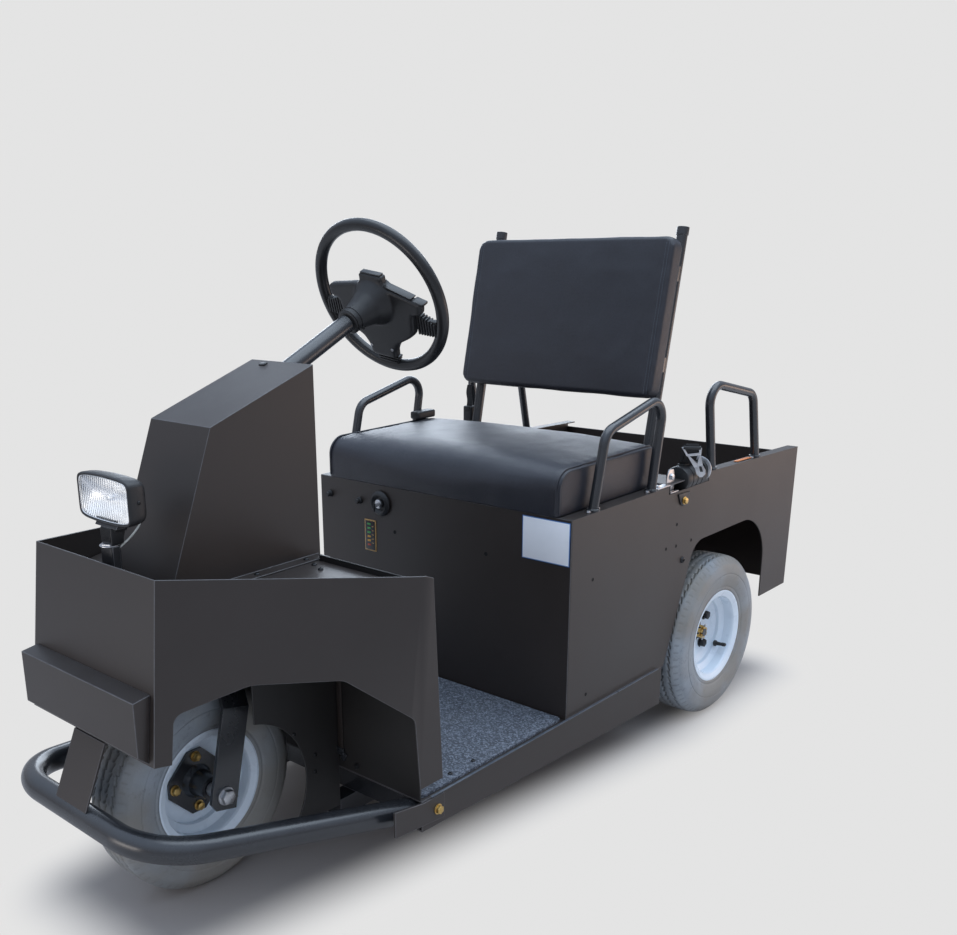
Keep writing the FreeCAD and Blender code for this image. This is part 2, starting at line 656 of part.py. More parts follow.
def make_bumper_mounts():
    """Bolted plates at the tube's ends, and the plate between bumper box and tube."""
    mounts = body("bumper_mounts")
    top = "(floorTop - 0.5)"
    side = [("mountFront", f"{top} + mountRise - mountDeep"), ("mountRear", f"{top} - mountDeep"),
            ("mountRear", top), ("floorFront", top), ("mountFront", f"{top} + mountRise")]
    pad(mounts, outline(mounts, "YZ_Plane", side, "bodyWidth / 2 + 0.1"), "5")
    pad(mounts, outline(mounts, "YZ_Plane", side, "-(bodyWidth / 2 + 5.1)"), "5")
    low = cowl_section("cowlTop - boxBase + 20")["front"]
    nose = f"({TUBE_END_Z} + (tubeEndY - tubeNoseY) * tan(tubeRise * 1 deg))"
    seat = "(tubeR + strutGap)"
    strut = [(f"{low} - 2", "boxBase - 20.4"), (f"{low} + 4", "boxBase - 20.4"),
             (f"tubeNoseY - {seat} * sin(21 deg)", f"{nose} + {seat} * cos(21 deg)"),
             (f"tubeNoseY - {seat} * sin(35 deg)", f"{nose} + {seat} * cos(35 deg)")]
    pad(mounts, outline(mounts, "YZ_Plane", strut), "2 * strutHalf", both=True)


# ---------------------------------------------------------------- steering tower and lamp
def make_steering_tower():
    """Folded sheet box on the deck: sloping top, leaning front and two sides with foot flanges."""
    tower = body("steering_tower")
    side = [("towerRear", "deckTop"), ("towerRear", "towerTop"), ("towerFoldY", "towerFoldZ"),
            ("towerFoot", "deckTop")]
    pad(tower, outline(tower, "YZ_Plane", side), "2 * towerHalf", both=True)
    inside = [("towerRear + 10", "deckTop - 10"), ("towerRear + 10", "towerTop - sheet + 3.5"),
              ("towerFoldY + 2", "towerFoldZ - sheet * 1.1"), ("towerFoot + sheet * 1.1", "deckTop - 10")]
    pocket(tower, outline(tower, "YZ_Plane", inside), "2 * (towerHalf - sheet)", both=True)
    foot = box("towerHalf - 1", "towerHalf + footWide", "towerFoot + 26", "towerRear - 6")
    flange = pad(tower, outline(tower, "XY_Plane", foot, "deckTop"), "sheet")
    mirror(tower, [flange])


def make_tower_cover():
    """Screwed-on rear panel of the tower, with the hole for the column."""
    cover = body("tower_cover")
    edge = "(towerHalf - sheet - 0.5)"
    panel = box(f"-{edge}", edge, "deckTop + 1", "towerTop - sheet - 1.5")
    pad(cover, outline(cover, "XZ_Plane", panel, "-towerRear"), "sheet")
    reach = "(wheelY - towerRear)"
    ring = "jacketR / cos(columnAngle * 1 deg) + sheet / 4 + 2 * gapFit"
    column = [("0", f"wheelZ - {reach} * tan(columnAngle * 1 deg)", ring)]
    pocket(cover, circles(cover, "XZ_Plane", column, "-towerRear + sheet * 2"), "sheet * 4")


def make_lamp_bracket():
    """Channel that stands on the deck, with a bolt on top that carries the lamp's foot."""
    post = body("lamp_bracket")
    section = box("postFront", "postFront + postDeep", "deckTop", "postTop")
    pad(post, outline(post, "YZ_Plane", section), "2 * postHalf", both=True)
    hollow = box("postFront + sheet", "postFront + postDeep + 1", "deckTop - 1", "postTop - sheet")
    pocket(post, outline(post, "YZ_Plane", hollow), "2 * (postHalf - sheet)", both=True)
    bolt = box("postFront + 3", "postFront + postDeep - 1", "postTop - 1", "lampBase - 13")
    pad(post, outline(post, "YZ_Plane", bolt), "12", both=True)
    foot = [("postFront + 1", "lampBase - 14"), ("lampFront + lampDeep - 12", "lampBase - 14"),
            ("lampFront + lampDeep - 6", "lampBase - gapFit"), ("postFront + 9", "lampBase - gapFit")]
    pad(post, outline(post, "YZ_Plane", foot), "64", both=True)


def make_lamp_housing():
    """Pillow-shaped lamp: a frame around the lens and a body that rounds off to the back."""
    housing = body("lamp_housing")
    shell = box("lampFront", "lampFront + lampDeep", "lampBase", "lampTop")
    pad(housing, outline(housing, "YZ_Plane", shell), "2 * lampHalf", both=True)
    back = value("lampFront + lampDeep")
    round_edges(housing, "15", lambda e: along(e, (0, 1, 0)))
    round_edges(housing, "13", lambda e: middle(e).y > back - 0.1)
    bowl = box("lampFront - 1", "lampFront + 27", "lampBase + bezelWide", "lampTop - bezelWide")
    pocket(housing, outline(housing, "YZ_Plane", bowl), "2 * (lampHalf - bezelWide)", both=True)


def make_lamp_lens():
    lens = body("lamp_lens")
    edge = "(bezelWide + gapFit)"
    glass = box("lampFront + 1.5", "lampFront + 5.5", f"lampBase + {edge}", f"lampTop - {edge}")
    pad(lens, outline(lens, "YZ_Plane", glass), f"2 * (lampHalf - {edge})", both=True)


def make_lamp_lead():
    """Short lead from the lamp's back into the channel."""
    lead = body("lamp_lead")
    back = "lampFront + lampDeep"
    start = "lampBase + leadLift"
    route = [(f"{back} + gapFit", start), (f"{back} + leadOut", f"{start} - 3"),
             (f"{back} + leadOut - 8", "postTop + 24"), ("postFront + postDeep + gapFit", "postTop - 10")]
    spine = bent_path(lead, "YZ_Plane", route, "leadBend", "leadX")
    pipe(lead, circles(lead, "XZ_Plane", [("leadX", start, "leadR")], f"-({back} + gapFit)"), spine)


# ---------------------------------------------------------------- steering column
def column_body(name):
    """A body whose Z runs up the steering column from the centre of the wheel."""
    return body(name, y="wheelY", z="wheelZ", turn="columnAngle - 90")


def make_column_jacket():
    """Fixed tube of the steering column, from inside the tower to the wheel hub."""
    jacket = column_body("column_jacket")
    ring = circles(jacket, "XY_Plane", [("0", "0", "jacketR"), ("0", "0", "shaftR + runFit")], "-jacketLow")
    pad(jacket, ring, "jacketLow + bootLow - 1")


def make_steering_shaft():
    shaft = column_body("steering_shaft")
    pad(shaft, circles(shaft, "XY_Plane", [("0", "0", "shaftR")], "-(jacketLow + 15)"), "jacketLow - 10")


def wheel_outline(owner, points, away):
    """An outline in the plane of the steering wheel, turned with the wheel about the column."""
    sketch = outline(owner, "XY_Plane", points, away)
    turned = FreeCAD.Rotation(Vector(0, 0, 1), value("wheelTurned"))
    sketch.AttachmentOffset = FreeCAD.Placement(Vector(0, 0, value(away)), turned)
    sketch.setExpression("AttachmentOffset.Rotation.Angle", bound("wheelTurned * 1 deg"))
    return sketch


# the edge of the hub shell where a side spoke meets it
SHELL_SIDE = (("98", "10"), ("92", "57"))


def make_steering_hub():
    """Moulded hub: a shell whose two side arms and lower arm reach for the rim, over a tapered boot."""
    hub = column_body("steering_hub")
    right = [("52", "-36"), ("122", "-17"), ("117", "7"), *SHELL_SIDE, ("76", "70"), ("44", "89"),
             ("34", "107"), ("33", "armEnd")]
    shape = right + [(f"-({x})", y) for x, y in reversed(right)]
    pad(hub, wheel_outline(hub, shape, "shellBack"), "0 - shellBack")
    round_edges(hub, "5", lambda e: middle(e).z < value("shellBack") + 0.1)
    crest = box("-31", "31", "-62", "-35")
    pad(hub, wheel_outline(hub, crest, "shellBack + 2"), "20")
    half = [("0", "-25"), ("shaftR + runFit", "-25"), ("shaftR + runFit", "bootLow"),
            ("jacketR + 5", "bootLow"), ("jacketR + 7", "bootLow + 3"), ("jacketR + 8", "bootLow + 16"),
            ("hubR - 5", "shellBack - 8"), ("hubR", "shellBack + 1"), ("hubR", "4"), ("hubR - 10", "12"),
            ("0", "14")]
    spin(hub, outline(hub, "XZ_Plane", half), "V_Axis")


def make_steering_wheel():
    """Rim and the three short spokes that join it to the hub shell."""
    wheel = column_body("steering_wheel")
    section = circles(wheel, "XZ_Plane", [("rimR", "0", "gripR")])
    spin(wheel, section, "V_Axis")
    (top_x, top_y), (low_x, low_y) = SHELL_SIDE
    neck = [(f"{top_x} + gapFit", top_y), ("rimR - 9", "24"), ("rimR - 19", "60"),
            (f"{low_x} + gapFit", low_y)]
    for side in (1, -1):
        pad(wheel, wheel_outline(wheel, [(f"{side} * ({x})", y) for x, y in neck], "-12"), "18")
    arm = box("-32", "32", "armEnd + gapFit", "rimR - 8")
    pad(wheel, wheel_outline(wheel, arm, "-12"), "18")


# ---------------------------------------------------------------- fork and front wheel
def fork_body(name):
    """A body whose Z is the steering axis, from the front axle upwards."""
    return body(name, y="frontAxle", z="tyreR", turn="-rake")


def make_fork_legs():
    """Two flat bars, bent inwards above the wheel towards the crown."""
    legs = fork_body("fork_legs")
    reach = "(crownAt - legBend) * tan(legLean * 1 deg)"
    step = "(legThick / cos(legLean * 1 deg))"
    turn = "(legThick * tan(legLean / 2 * 1 deg))"
    top = f"legIn + legThick - {reach} + {turn} * tan(legLean * 1 deg)"
    bar = [("legIn", "-legEnd"), ("legIn + legThick", "-legEnd"), ("legIn + legThick", f"legBend + {turn}"),
           (top, "crownAt"), (f"{top} - {step}", "crownAt"), ("legIn", "legBend")]
    pad(legs, outline(legs, "XZ_Plane", bar), "2 * legHalf", both=True)
    pad(legs, outline(legs, "XZ_Plane", [(f"-({x})", z) for x, z in bar]), "2 * legHalf", both=True)
    corner = [("-legHalf - 1", "-legEnd - 1"), ("-legHalf + 14", "-legEnd - 1"),
              ("-legHalf - 1", "-legEnd + 14")]
    pocket(legs, outline(legs, "YZ_Plane", corner), both=True)
    pocket(legs, circles(legs, "YZ_Plane", [("0", "0", "axleR + 0.05")]), both=True)


def make_fork_crown():
    """Plate across the top of the fork, with the stem that turns in the head tube."""
    crown = fork_body("fork_crown")
    half = "(legIn + legThick - (crownAt - legBend) * tan(legLean * 1 deg) + 2)"
    top = box(f"-{half}", half, "-legHalf", "legHalf")
    pad(crown, outline(crown, "XY_Plane", top, "crownAt + 0.1"), "crownThick")
    pad(crown, circles(crown, "XY_Plane", [("0", "0", "stemR + 6")], "crownAt + crownThick - 0.5"), "5")
    pad(crown, circles(crown, "XY_Plane", [("0", "0", "stemR")], "crownAt + crownThick - 1"), "stemLong + 1")


def make_front_axle():
    """Axle bolt with its hexagon head and nut outside the fork."""
    axle = fork_body("front_axle")
    outer = "(legIn + legThick)"
    pad(axle, circles(axle, "YZ_Plane", [("0", "0", "axleR")]), f"2 * {outer} + 24", both=True)
    hexagon = [(f"13 * cos({60 * i} deg)", f"13 * sin({60 * i} deg)") for i in range(6)]
    pad(axle, outline(axle, "YZ_Plane", hexagon, outer), "9")
    pad(axle, outline(axle, "YZ_Plane", hexagon, f"-({outer} + 12)"), "12")
    collar = [("0", "0", "axleR + 6"), ("0", "0", "axleR - 0.5")]
    pad(axle, circles(axle, "YZ_Plane", collar, "barrelHalf + 2"), "legIn - barrelHalf - 2")
    pad(axle, circles(axle, "YZ_Plane", collar, "-legIn"), "legIn - barrelHalf - 2")


def wheel_body(name, x, y):
    return body(name, x=x, y=y, z="tyreR")


def make_tyre(name, x, y):
    """Closed tyre: rounded shoulders, bulging walls and a bead that sits on the rim."""
    tyre = wheel_body(name, x, y)
    sketch = blank(tyre, "XY_Plane", None)
    half = [("beadR + gapFit", "rimHalf - 10.4"), ("beadR + 3 + gapFit", "rimHalf - 8.4"),
            ("lipR + gapFit", "rimHalf - 0.4"), ("lipR + 8", "tyreHalf - 5"),
            ("(tyreR + lipR) / 2 - 4", "tyreHalf"), ("tyreR - 22", "tyreHalf - 5"),
            ("tyreR - 8", "tyreHalf - 14"), ("tyreR - 1.5", "tyreHalf - 26"), ("tyreR", "tyreHalf - 42")]
    profile = [(width, radius) for radius, width in half]
    profile += [(f"-({width})", radius) for radius, width in reversed(half)]
    add_outline(sketch, profile)
    spin(tyre, sketch, "H_Axis")


def make_rim(name, x, y, side, disc, dish):
    """Pressed steel wheel: rolled lips, drop centre, and a disc whose middle is set in by dish."""
    rim = wheel_body(name, x, y)
    seat = "beadR - rimThick"
    well = "beadR - wellDeep"
    under = f"{well} - rimThick"
    upper = [("-rimHalf", "lipR"), ("-rimHalf + 8", "beadR + 3"), ("-rimHalf + 10", "beadR"),
             ("-18", "beadR"), ("-10", well), ("10", well), ("18", "beadR"), ("rimHalf - 10", "beadR"),
             ("rimHalf - 8", "beadR + 3"), ("rimHalf", "lipR")]
    lower = [("rimHalf", "lipR - rimThick - 1"), ("rimHalf - 8 + rimThick", "beadR - 1"),
             ("rimHalf - 10", seat), ("20", seat), ("12", under),
             (disc, under), (f"{disc} - {dish} / 2", "70"), (f"{disc} - {dish}", "34"),
             (f"{disc} - {dish} - discThick", "34"), (f"{disc} - {dish} / 2 - discThick", "70"),
             (f"{disc} - discThick", under), ("-12", under), ("-20", seat), ("-rimHalf + 10", seat),
             ("-rimHalf + 8 - rimThick", "beadR - 1"), ("-rimHalf", "lipR - rimThick - 1")]
    points = [(f"{side} * ({a})", b) for a, b in upper + lower]
    spin(rim, outline(rim, "XY_Plane", points), "H_Axis")


def make_front_hub():
    """Wheel hub: four-cornered flange on a barrel that turns on the axle bolt."""
    hub = wheel_body("front_hub", "0", "frontAxle")
    inner = "frontDisc + gapFit"
    outer = f"{inner} + flangeThick"
    barrel = [("-barrelHalf", "axleR + runFit"), ("-barrelHalf", "20"), ("-20", "26"), (inner, "30"),
              (outer, "34"), (f"{outer} + 10", "27"), ("barrelHalf", "22"), ("barrelHalf", "axleR + runFit")]
    spin(hub, outline(hub, "XY_Plane", barrel), "H_Axis")
    corners = [(f"flangeReach * cos({90 * i + turn} deg)", f"flangeReach * sin({90 * i + turn} deg)")
               for i in range(4) for turn in (-14, 14)]
    pad(hub, outline(hub, "YZ_Plane", corners, inner), "flangeThick")
    pocket(hub, circles(hub, "YZ_Plane", [("0", "0", "axleR + runFit")]), both=True)


def make_rear_hub(name, side):
    """Driven hub: flange in the rim's dish, half shaft inwards and castle nut outwards."""
    hub = wheel_body(name, f"{side} * rearTrack", "rearAxle")
    face = "(rearDisc - rearDish - discThick - gapFit)"
    turned = [("-150", "0"), ("-150", "halfShaftR"), (f"{face} - 34", "halfShaftR"), (f"{face} - 34", "30"),
              (f"{face} - 8", "34"), (f"{face} - 8", "64"), (face, "64"), (face, "33"), (f"{face} + 6", "33"),
              (f"{face} + 10", "22"), (f"{face} + 14", "20"), (f"{face} + 14", "10"), (f"{face} + 34", "10"),
              (f"{face} + 34", "0")]
    points = [(f"{side} * ({a})", b) for a, b in turned]
    spin(hub, outline(hub, "XY_Plane", points), "H_Axis")
    hexagon = [(f"17 * cos({60 * i} deg)", f"17 * sin({60 * i} deg)") for i in range(6)]
    pad(hub, outline(hub, "YZ_Plane", hexagon, f"{side} * ({face} + 13.9)"), "13", back=side < 0)


# ---------------------------------------------------------------- axle and motor
def make_axle_housing():
    """Axle tubes and gear case in one casting, with pads under the spine rails."""
    housing = wheel_body("axle_housing", "0", "rearAxle")
    end = "(rearTrack + rearDisc - rearDish - discThick - gapFit - 34 - 3)"
    right = [("52", "caseR"), ("90", "tubeAxleR + 14"), ("108", "tubeAxleR"), (f"{end} - 10", "tubeAxleR"),
             (f"{end} - 10", "tubeAxleR + 6"), (end, "tubeAxleR + 6"), (end, "halfShaftR + runFit")]
    turned = [(f"-({x})", r) for x, r in reversed(right)] + right
    spin(housing, outline(housing, "XY_Plane", turned), "H_Axis")
    seat = box("spineX - spineWide + 2", "spineX - 2", "-32", "32")
    rise = "tailTop - spineDeep - tyreR"
    first = pad(housing, outline(housing, "XY_Plane", seat, "14"), f"{rise} - 14")
    mirror(housing, [first])
    pocket(housing, circles(housing, "YZ_Plane", [("0", "0", "halfShaftR + runFit")]), both=True)


def make_drive_motor():
    """Electric motor ahead of the gear case, as one closed block."""
    motor = body("drive_motor", y="rearAxle - motorAhead", z="tyreR")
    can = [("-92", "0"), ("-92", "motorR - 12"), ("-84", "motorR"), ("70", "motorR"), ("76", "motorR - 5"),
           ("92", "motorR - 5"), ("92", "0")]
    spin(motor, outline(motor, "XY_Plane", can), "H_Axis")
    end = "(motorAhead - caseR - gapFit)"
    neck = [("motorR - 12", "-30"), ("motorR - 12", "30"), (end, "26"), (end, "-26")]
    pad(motor, outline(motor, "YZ_Plane", neck), "60", both=True)


# ---------------------------------------------------------------- seat box and cargo box
def make_side_panel(name, side):
    """One long sheet from the seat box to the tail: rounded wheel arch below, folded flanges on top."""
    panel = body(name)
    tail = "(cargoTop - cargoDrop)"
    front_corner = ("archFront + archLean", "archTop")
    rear_corner = ("archRear", "archTop")
    shape = [("sheet + 0.2", "floorTop"), ("sheet + 0.2", "seatTop"), ("stepAt", "seatTop"),
             ("stepAt", "notchZ"), ("cargoStart", "notchZ"), ("cargoStart", "cargoTop"), ("cargoRear", tail),
             ("cargoRear - tailLean", "panelBase"), ("archRear", "panelBase"), rear_corner, front_corner,
             ("archFront", "floorTop")]
    at = "bodyWidth / 2 - sheet" if side > 0 else "-bodyWidth / 2"
    pad(panel, outline(panel, "YZ_Plane", shape, at), "sheet")
    round_edges(panel, "archFrontR", at_corner(*front_corner))
    round_edges(panel, "archRearR", at_corner(*rear_corner))
    outer = "(bodyWidth / 2 - 1)"
    inner = "(bodyWidth / 2 - flangeWide)"
    seat = box(f"{side} * {outer}", f"{side} * {inner}", "sheet + 0.2", "stepAt")
    pad(panel, outline(panel, "XY_Plane", seat, "seatTop - sheet"), "sheet")
    rail = [("cargoStart", "cargoTop"), ("cargoRear", tail), ("cargoRear", f"{tail} - sheet"),
            ("cargoStart", "cargoTop - sheet")]
    start = inner if side > 0 else f"-{outer}"
    pad(panel, outline(panel, "YZ_Plane", rail, start), f"{outer} - {inner}")


def make_seat_box_front():
    front = body("seat_box_front")
    panel = box("-bodyWidth / 2", "bodyWidth / 2", "floorTop", "seatTop")
    pad(front, outline(front, "XZ_Plane", panel), "sheet", back=True)
    pocket(front, circles(front, "XZ_Plane", [("keyX", "seatTop - keyDrop", "19")], "5"), "12")


def make_seat_deck():
    """Flat top of the seat box under the cushion."""
    deck = body("seat_deck")
    inner = "(bodyWidth / 2 - flangeWide - gapFit)"
    plate = box(f"-{inner}", inner, "sheet + gapFit", "floorRear - sheet - gapFit")
    pad(deck, outline(deck, "XY_Plane", plate, "seatTop - sheet"), "sheet")
    hatch = box(f"-{inner} + 60", f"{inner} - 60", "60", "floorRear - 75")
    pocket(deck, outline(deck, "XY_Plane", hatch, "seatTop"), "sheet * 2")


def make_battery_pack():
    pack = body("battery_pack")
    block = box("-batteryHalf", "batteryHalf", "50", "stepAt - 25")
    pad(pack, outline(pack, "XY_Plane", block, "floorTop"), "batteryTall")
    round_edges(pack, "8", lambda e: along(e, (0, 0, 1)))


def make_cargo_front_wall():
    """Sheet that closes the seat box behind, runs back as a shelf and drops to the cargo floor."""
    wall = body("cargo_front_wall")
    inner = "(bodyWidth / 2 - sheet - gapFit)"
    section = [("cargoFront", "cargoFloor"), ("cargoFront", "shelfTop"), ("floorRear - sheet", "shelfTop"),
               ("floorRear - sheet", "floorTop"), ("floorRear", "floorTop"),
               ("floorRear", "shelfTop - sheet"), ("cargoFront - sheet", "shelfTop - sheet"),
               ("cargoFront - sheet", "cargoFloor")]
    pad(wall, outline(wall, "YZ_Plane", section), f"2 * {inner}", both=True)


def make_cargo_floor():
    floor = body("cargo_floor")
    inner = "(bodyWidth / 2 - sheet - gapFit)"
    plate = box(f"-{inner}", inner, "cargoFront - sheet", "cargoRear - 16")
    pad(floor, outline(floor, "XY_Plane", plate, "cargoFloor - sheet"), "sheet")
    web = box("spineX - sheet - 4", "spineX - 4", "kickEnd + 20", "tailEnd - 50")
    bearer = pad(floor, outline(floor, "XY_Plane", web, "tailTop"), "cargoFloor - sheet - tailTop")
    mirror(floor, [bearer])


def make_cargo_rear_wall():
    wall = body("cargo_rear_wall")
    inner = "(bodyWidth / 2 - sheet - gapFit)"
    section = [("cargoRear - tailLean - sheet", "panelBase + 8"), ("cargoRear - 1 - sheet", "rearWallTop"),
               ("cargoRear - 1", "rearWallTop"), ("cargoRear - tailLean", "panelBase + 8")]
    pad(wall, outline(wall, "YZ_Plane", section), f"2 * {inner}", both=True)


# ---------------------------------------------------------------- seat
def make_seat_cushion():
    """Bench cushion with a deep round front."""
    cushion = body("seat_cushion")
    shape = box("cushionFront", "cushionFront + cushionDeep", "seatTop + 0.5", "seatTop + cushionTall")
    pad(cushion, outline(cushion, "YZ_Plane", shape), f"2 * {CUSHION_HALF}", both=True)
    top = value("seatTop + cushionTall")
    front = value("cushionFront")
    side = value(CUSHION_HALF)
    round_edges(cushion, "cushionNose", at_corner("cushionFront", "seatTop + cushionTall"))
    round_edges(cushion, "12", lambda e: middle(e).z > top - 50 and abs(middle(e).x) > side - 1
                and not (along(e, (0, 0, 1)) and middle(e).y > front + 60))


def make_backrest_pad():
    pad_body = body("backrest_pad", y="backFootY", z="backFootZ", turn="-recline")
    face = box("-backHalf", "backHalf", "0", "backTall")
    pad(pad_body, outline(pad_body, "XZ_Plane", face), "backThick", back=True)
    round_edges(pad_body, "14", lambda e: True)


def make_backrest_frame():
    """Two posts behind the backrest, tied by flat bars that carry it."""
    frame = body("backrest_frame", y="backFootY", z="backFootZ", turn="-recline")
    behind = "(backThick + postR + 7)"
    lean = "(recline * 1 deg)"
    foot = f"((shelfTop + 0.2 - backFootZ + ({behind} + postR) * sin({lean})) / cos({lean}))"
    posts = [("postX", behind, "postR"), ("-postX", behind, "postR")]
    pad(frame, circles(frame, "XY_Plane", posts, foot), f"backTall + postOver - 1 - {foot}")
    caps = [(x, y, "postR + 1.5") for x, y, _ in posts]
    pad(frame, circles(frame, "XY_Plane", caps, "backTall + postOver - capLong"), "capLong")
    for lift in ("60", "backTall - 90"):
        bar = box("-postX - 16", "postX + 16", "backThick + 0.5", "backThick + 8")
        pad(frame, outline(frame, "XY_Plane", bar, lift), "34")


def make_hoops(name, foot, floor, direction, drop="0"):
    """A pair of bent tubes, one on each side flange: a long leg, a short leg and a sloping top."""
    hoops = body(name, y=foot, z=floor)
    path = [("0", "1"), (f"-{direction} * hoopLean", "hoopLong"),
            (f"{direction} * (hoopSpan - hoopLean)", "hoopShort"), (f"{direction} * hoopSpan", f"1 - {drop}")]
    feet = (("0", "0"), (f"{direction} * hoopSpan", drop))
    for side in (HOOP_X, f"-{HOOP_X}"):
        spine = bent_path(hoops, "YZ_Plane", path, "hoopBend", side)
        pipe(hoops, circles(hoops, "XY_Plane", [(side, "0", "hoopR")], "1"), spine)
        for y, fall in feet:
            pad(hoops, circles(hoops, "XY_Plane", [(side, y, "footR")], f"0.5 - {fall}"), "3")


# ---------------------------------------------------------------- belt, switch and pedals
def make_belt_retractor():
    """Belt reel in its round-topped case on the left side panel, with a leg bolted inside the panel."""
    reel = body("belt_retractor", x="bodyWidth / 2 - gapFit", z="notchZ + gapFit")
    case = box("-reelWide", "0", "0", "reelTall")
    pad(reel, outline(reel, "XZ_Plane", case, "-reelFront"), "reelLong", back=True)
    top = value("reelTall")
    round_edges(reel, "reelRound", lambda e: along(e, (0, 1, 0)) and middle(e).z > top - 1)
    leg = box("-reelWide + 14", "-sheet", "-42", "1")
    pad(reel, outline(reel, "XZ_Plane", leg, "-(reelFront + 8)"), "reelLong - 30", back=True)


def make_belt_tongue():
    """Bright tongue with its two slots, hanging against the reel's case."""
    tongue = body("belt_tongue", x="bodyWidth / 2 + gapFit", y="tongueY", z="tongueZ")
    shape = [("-70", "16"), ("-48", "8"), ("0", "-26"), ("28", "-60"), ("45", "-70"), ("58", "-66"),
             ("62", "-52"), ("48", "-22"), ("14", "14"), ("6", "32"), ("-30", "30"), ("-60", "26")]
    pad(tongue, outline(tongue, "YZ_Plane", shape), "tongueThick")
    webbing_slot = [("-50", "17"), ("-4", "3"), ("0", "11"), ("-46", "24")]
    latch_slot = [("18", "-37"), ("34", "-53"), ("40", "-48"), ("24", "-32")]
    for slot in (webbing_slot, latch_slot):
        pocket(tongue, outline(tongue, "YZ_Plane", slot), both=True)


def make_belt_buckles():
    """Two buckle housings at the right of the seat."""
    buckles = body("belt_buckles")
    wide = "buckleWide / 2"
    flat = box(f"buckleX - {wide}", f"buckleX + {wide}", "buckleFront", "buckleFront + buckleLong")
    pad(buckles, outline(buckles, "XY_Plane", flat, "seatTop + cushionTall + gapFit"), "buckleThick")
    hung = box(f"stalkX - {wide}", f"stalkX + {wide}", "stalkFront", "stalkFront + buckleThick")
    pad(buckles, outline(buckles, "XY_Plane", hung, "shelfTop + gapFit"), "stalkTall")
    round_edges(buckles, "4", lambda e: True)


def make_key_switch():
    """Ringed key switch in the seat box front."""
    switch = body("key_switch", x="keyX", z="seatTop - keyDrop")
    ring = [("0", "14"), ("18.5", "14"), ("18.5", "-gapFit"), ("28", "-gapFit"), ("28", "-4"),
            ("22", "-9"), ("16", "-9"), ("14", "-3"), ("0", "-3")]
    spin(switch, outline(switch, "XY_Plane", ring), "V_Axis")


def make_foot_pedals():
    """Drive and brake pedal on the floor behind the leg shield."""
    pedals = body("foot_pedals", y="shieldY + sheet", z="floorTop + matThick")
    plate = [("12", "30"), ("60", "66"), ("66", "60"), ("18", "24")]
    stalk = [("0.2", "40"), ("0.2", "52"), ("40", "56"), ("36", "40")]
    for x, wide in (("-120", "70"), ("-235", "80")):
        pad(pedals, outline(pedals, "YZ_Plane", plate, x), wide)
        pad(pedals, outline(pedals, "YZ_Plane", stalk, f"{x} + {wide} / 2 - 8"), "16")


# ---------------------------------------------------------------- the whole vehicle
make_floor_pan()
make_floor_mat()
make_chassis_frame()
make_front_cowl()
make_leg_shield()
make_cowl_deck()
make_neck_walls()
make_head_tube()
make_bumper_box()
make_bumper_tube()
make_bumper_mounts()
make_steering_tower()
make_tower_cover()
make_lamp_bracket()
make_lamp_housing()
make_lamp_lens()
make_lamp_lead()
make_column_jacket()
make_steering_shaft()
make_steering_hub()
make_steering_wheel()
make_fork_legs()
make_fork_crown()
make_front_axle()
make_front_hub()
make_rim("front_rim", "0", "frontAxle", 1, "frontDisc", "0")
make_tyre("front_tyre", "0", "frontAxle")
for word, side in (("left", 1), ("right", -1)):
    make_rear_hub(f"rear_hub_{word}", side)
    make_rim(f"rear_rim_{word}", f"{side} * rearTrack", "rearAxle", side, "rearDisc", "rearDish")
    make_tyre(f"rear_tyre_{word}", f"{side} * rearTrack", "rearAxle")
    make_side_panel(f"side_panel_{word}", side)
make_axle_housing()
make_drive_motor()
make_seat_box_front()
make_seat_deck()
make_battery_pack()
make_cargo_front_wall()
make_cargo_floor()
make_cargo_rear_wall()
make_seat_cushion()
make_backrest_pad()
make_backrest_frame()
make_hoops("hip_restraints", "hipFoot", "seatTop", -1)
make_hoops("cargo_hoops", "cargoFoot", flange("cargoFoot"), 1, HOOP_FALL)
make_belt_retractor()
make_belt_tongue()
make_belt_buckles()
make_key_switch()
make_foot_pedals()

document.recompute()

failed = [thing.Name for thing in document.Objects if {"Invalid", "Error"} & set(thing.State)]
if failed:
    raise RuntimeError(f"these did not build: {failed}")
for node in NODES:
    if node.Shape.isNull() or not node.Shape.isValid():
        raise RuntimeError(f"{node.Label} has no valid shape")

os.makedirs("parts", exist_ok=True)
for node in NODES:
    node.Shape.exportStep(f"parts/{node.Label}.step")
    print(f"{node.Label:20s} {len(node.Shape.Solids)} solid(s)  {node.Shape.Volume / 1000:10.1f} cm3")
print(len(NODES), "nodes")
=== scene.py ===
# %% [markdown]
# # A three-wheeled electric utility vehicle
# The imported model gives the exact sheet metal, tubes and wheels, each part already riding on its body.
# This lesson adds what a drawing leaves out: soft edges, paint, tread, bolts, stitching and light.
# Everything is in metres, +Z is up, the vehicle drives towards -Y and its left side is +X.

import json
import math

import bmesh
import bpy
from mathutils import Matrix, Vector, noise
from mathutils.bvhtree import BVHTree
from mathutils.geometry import interpolate_bezier


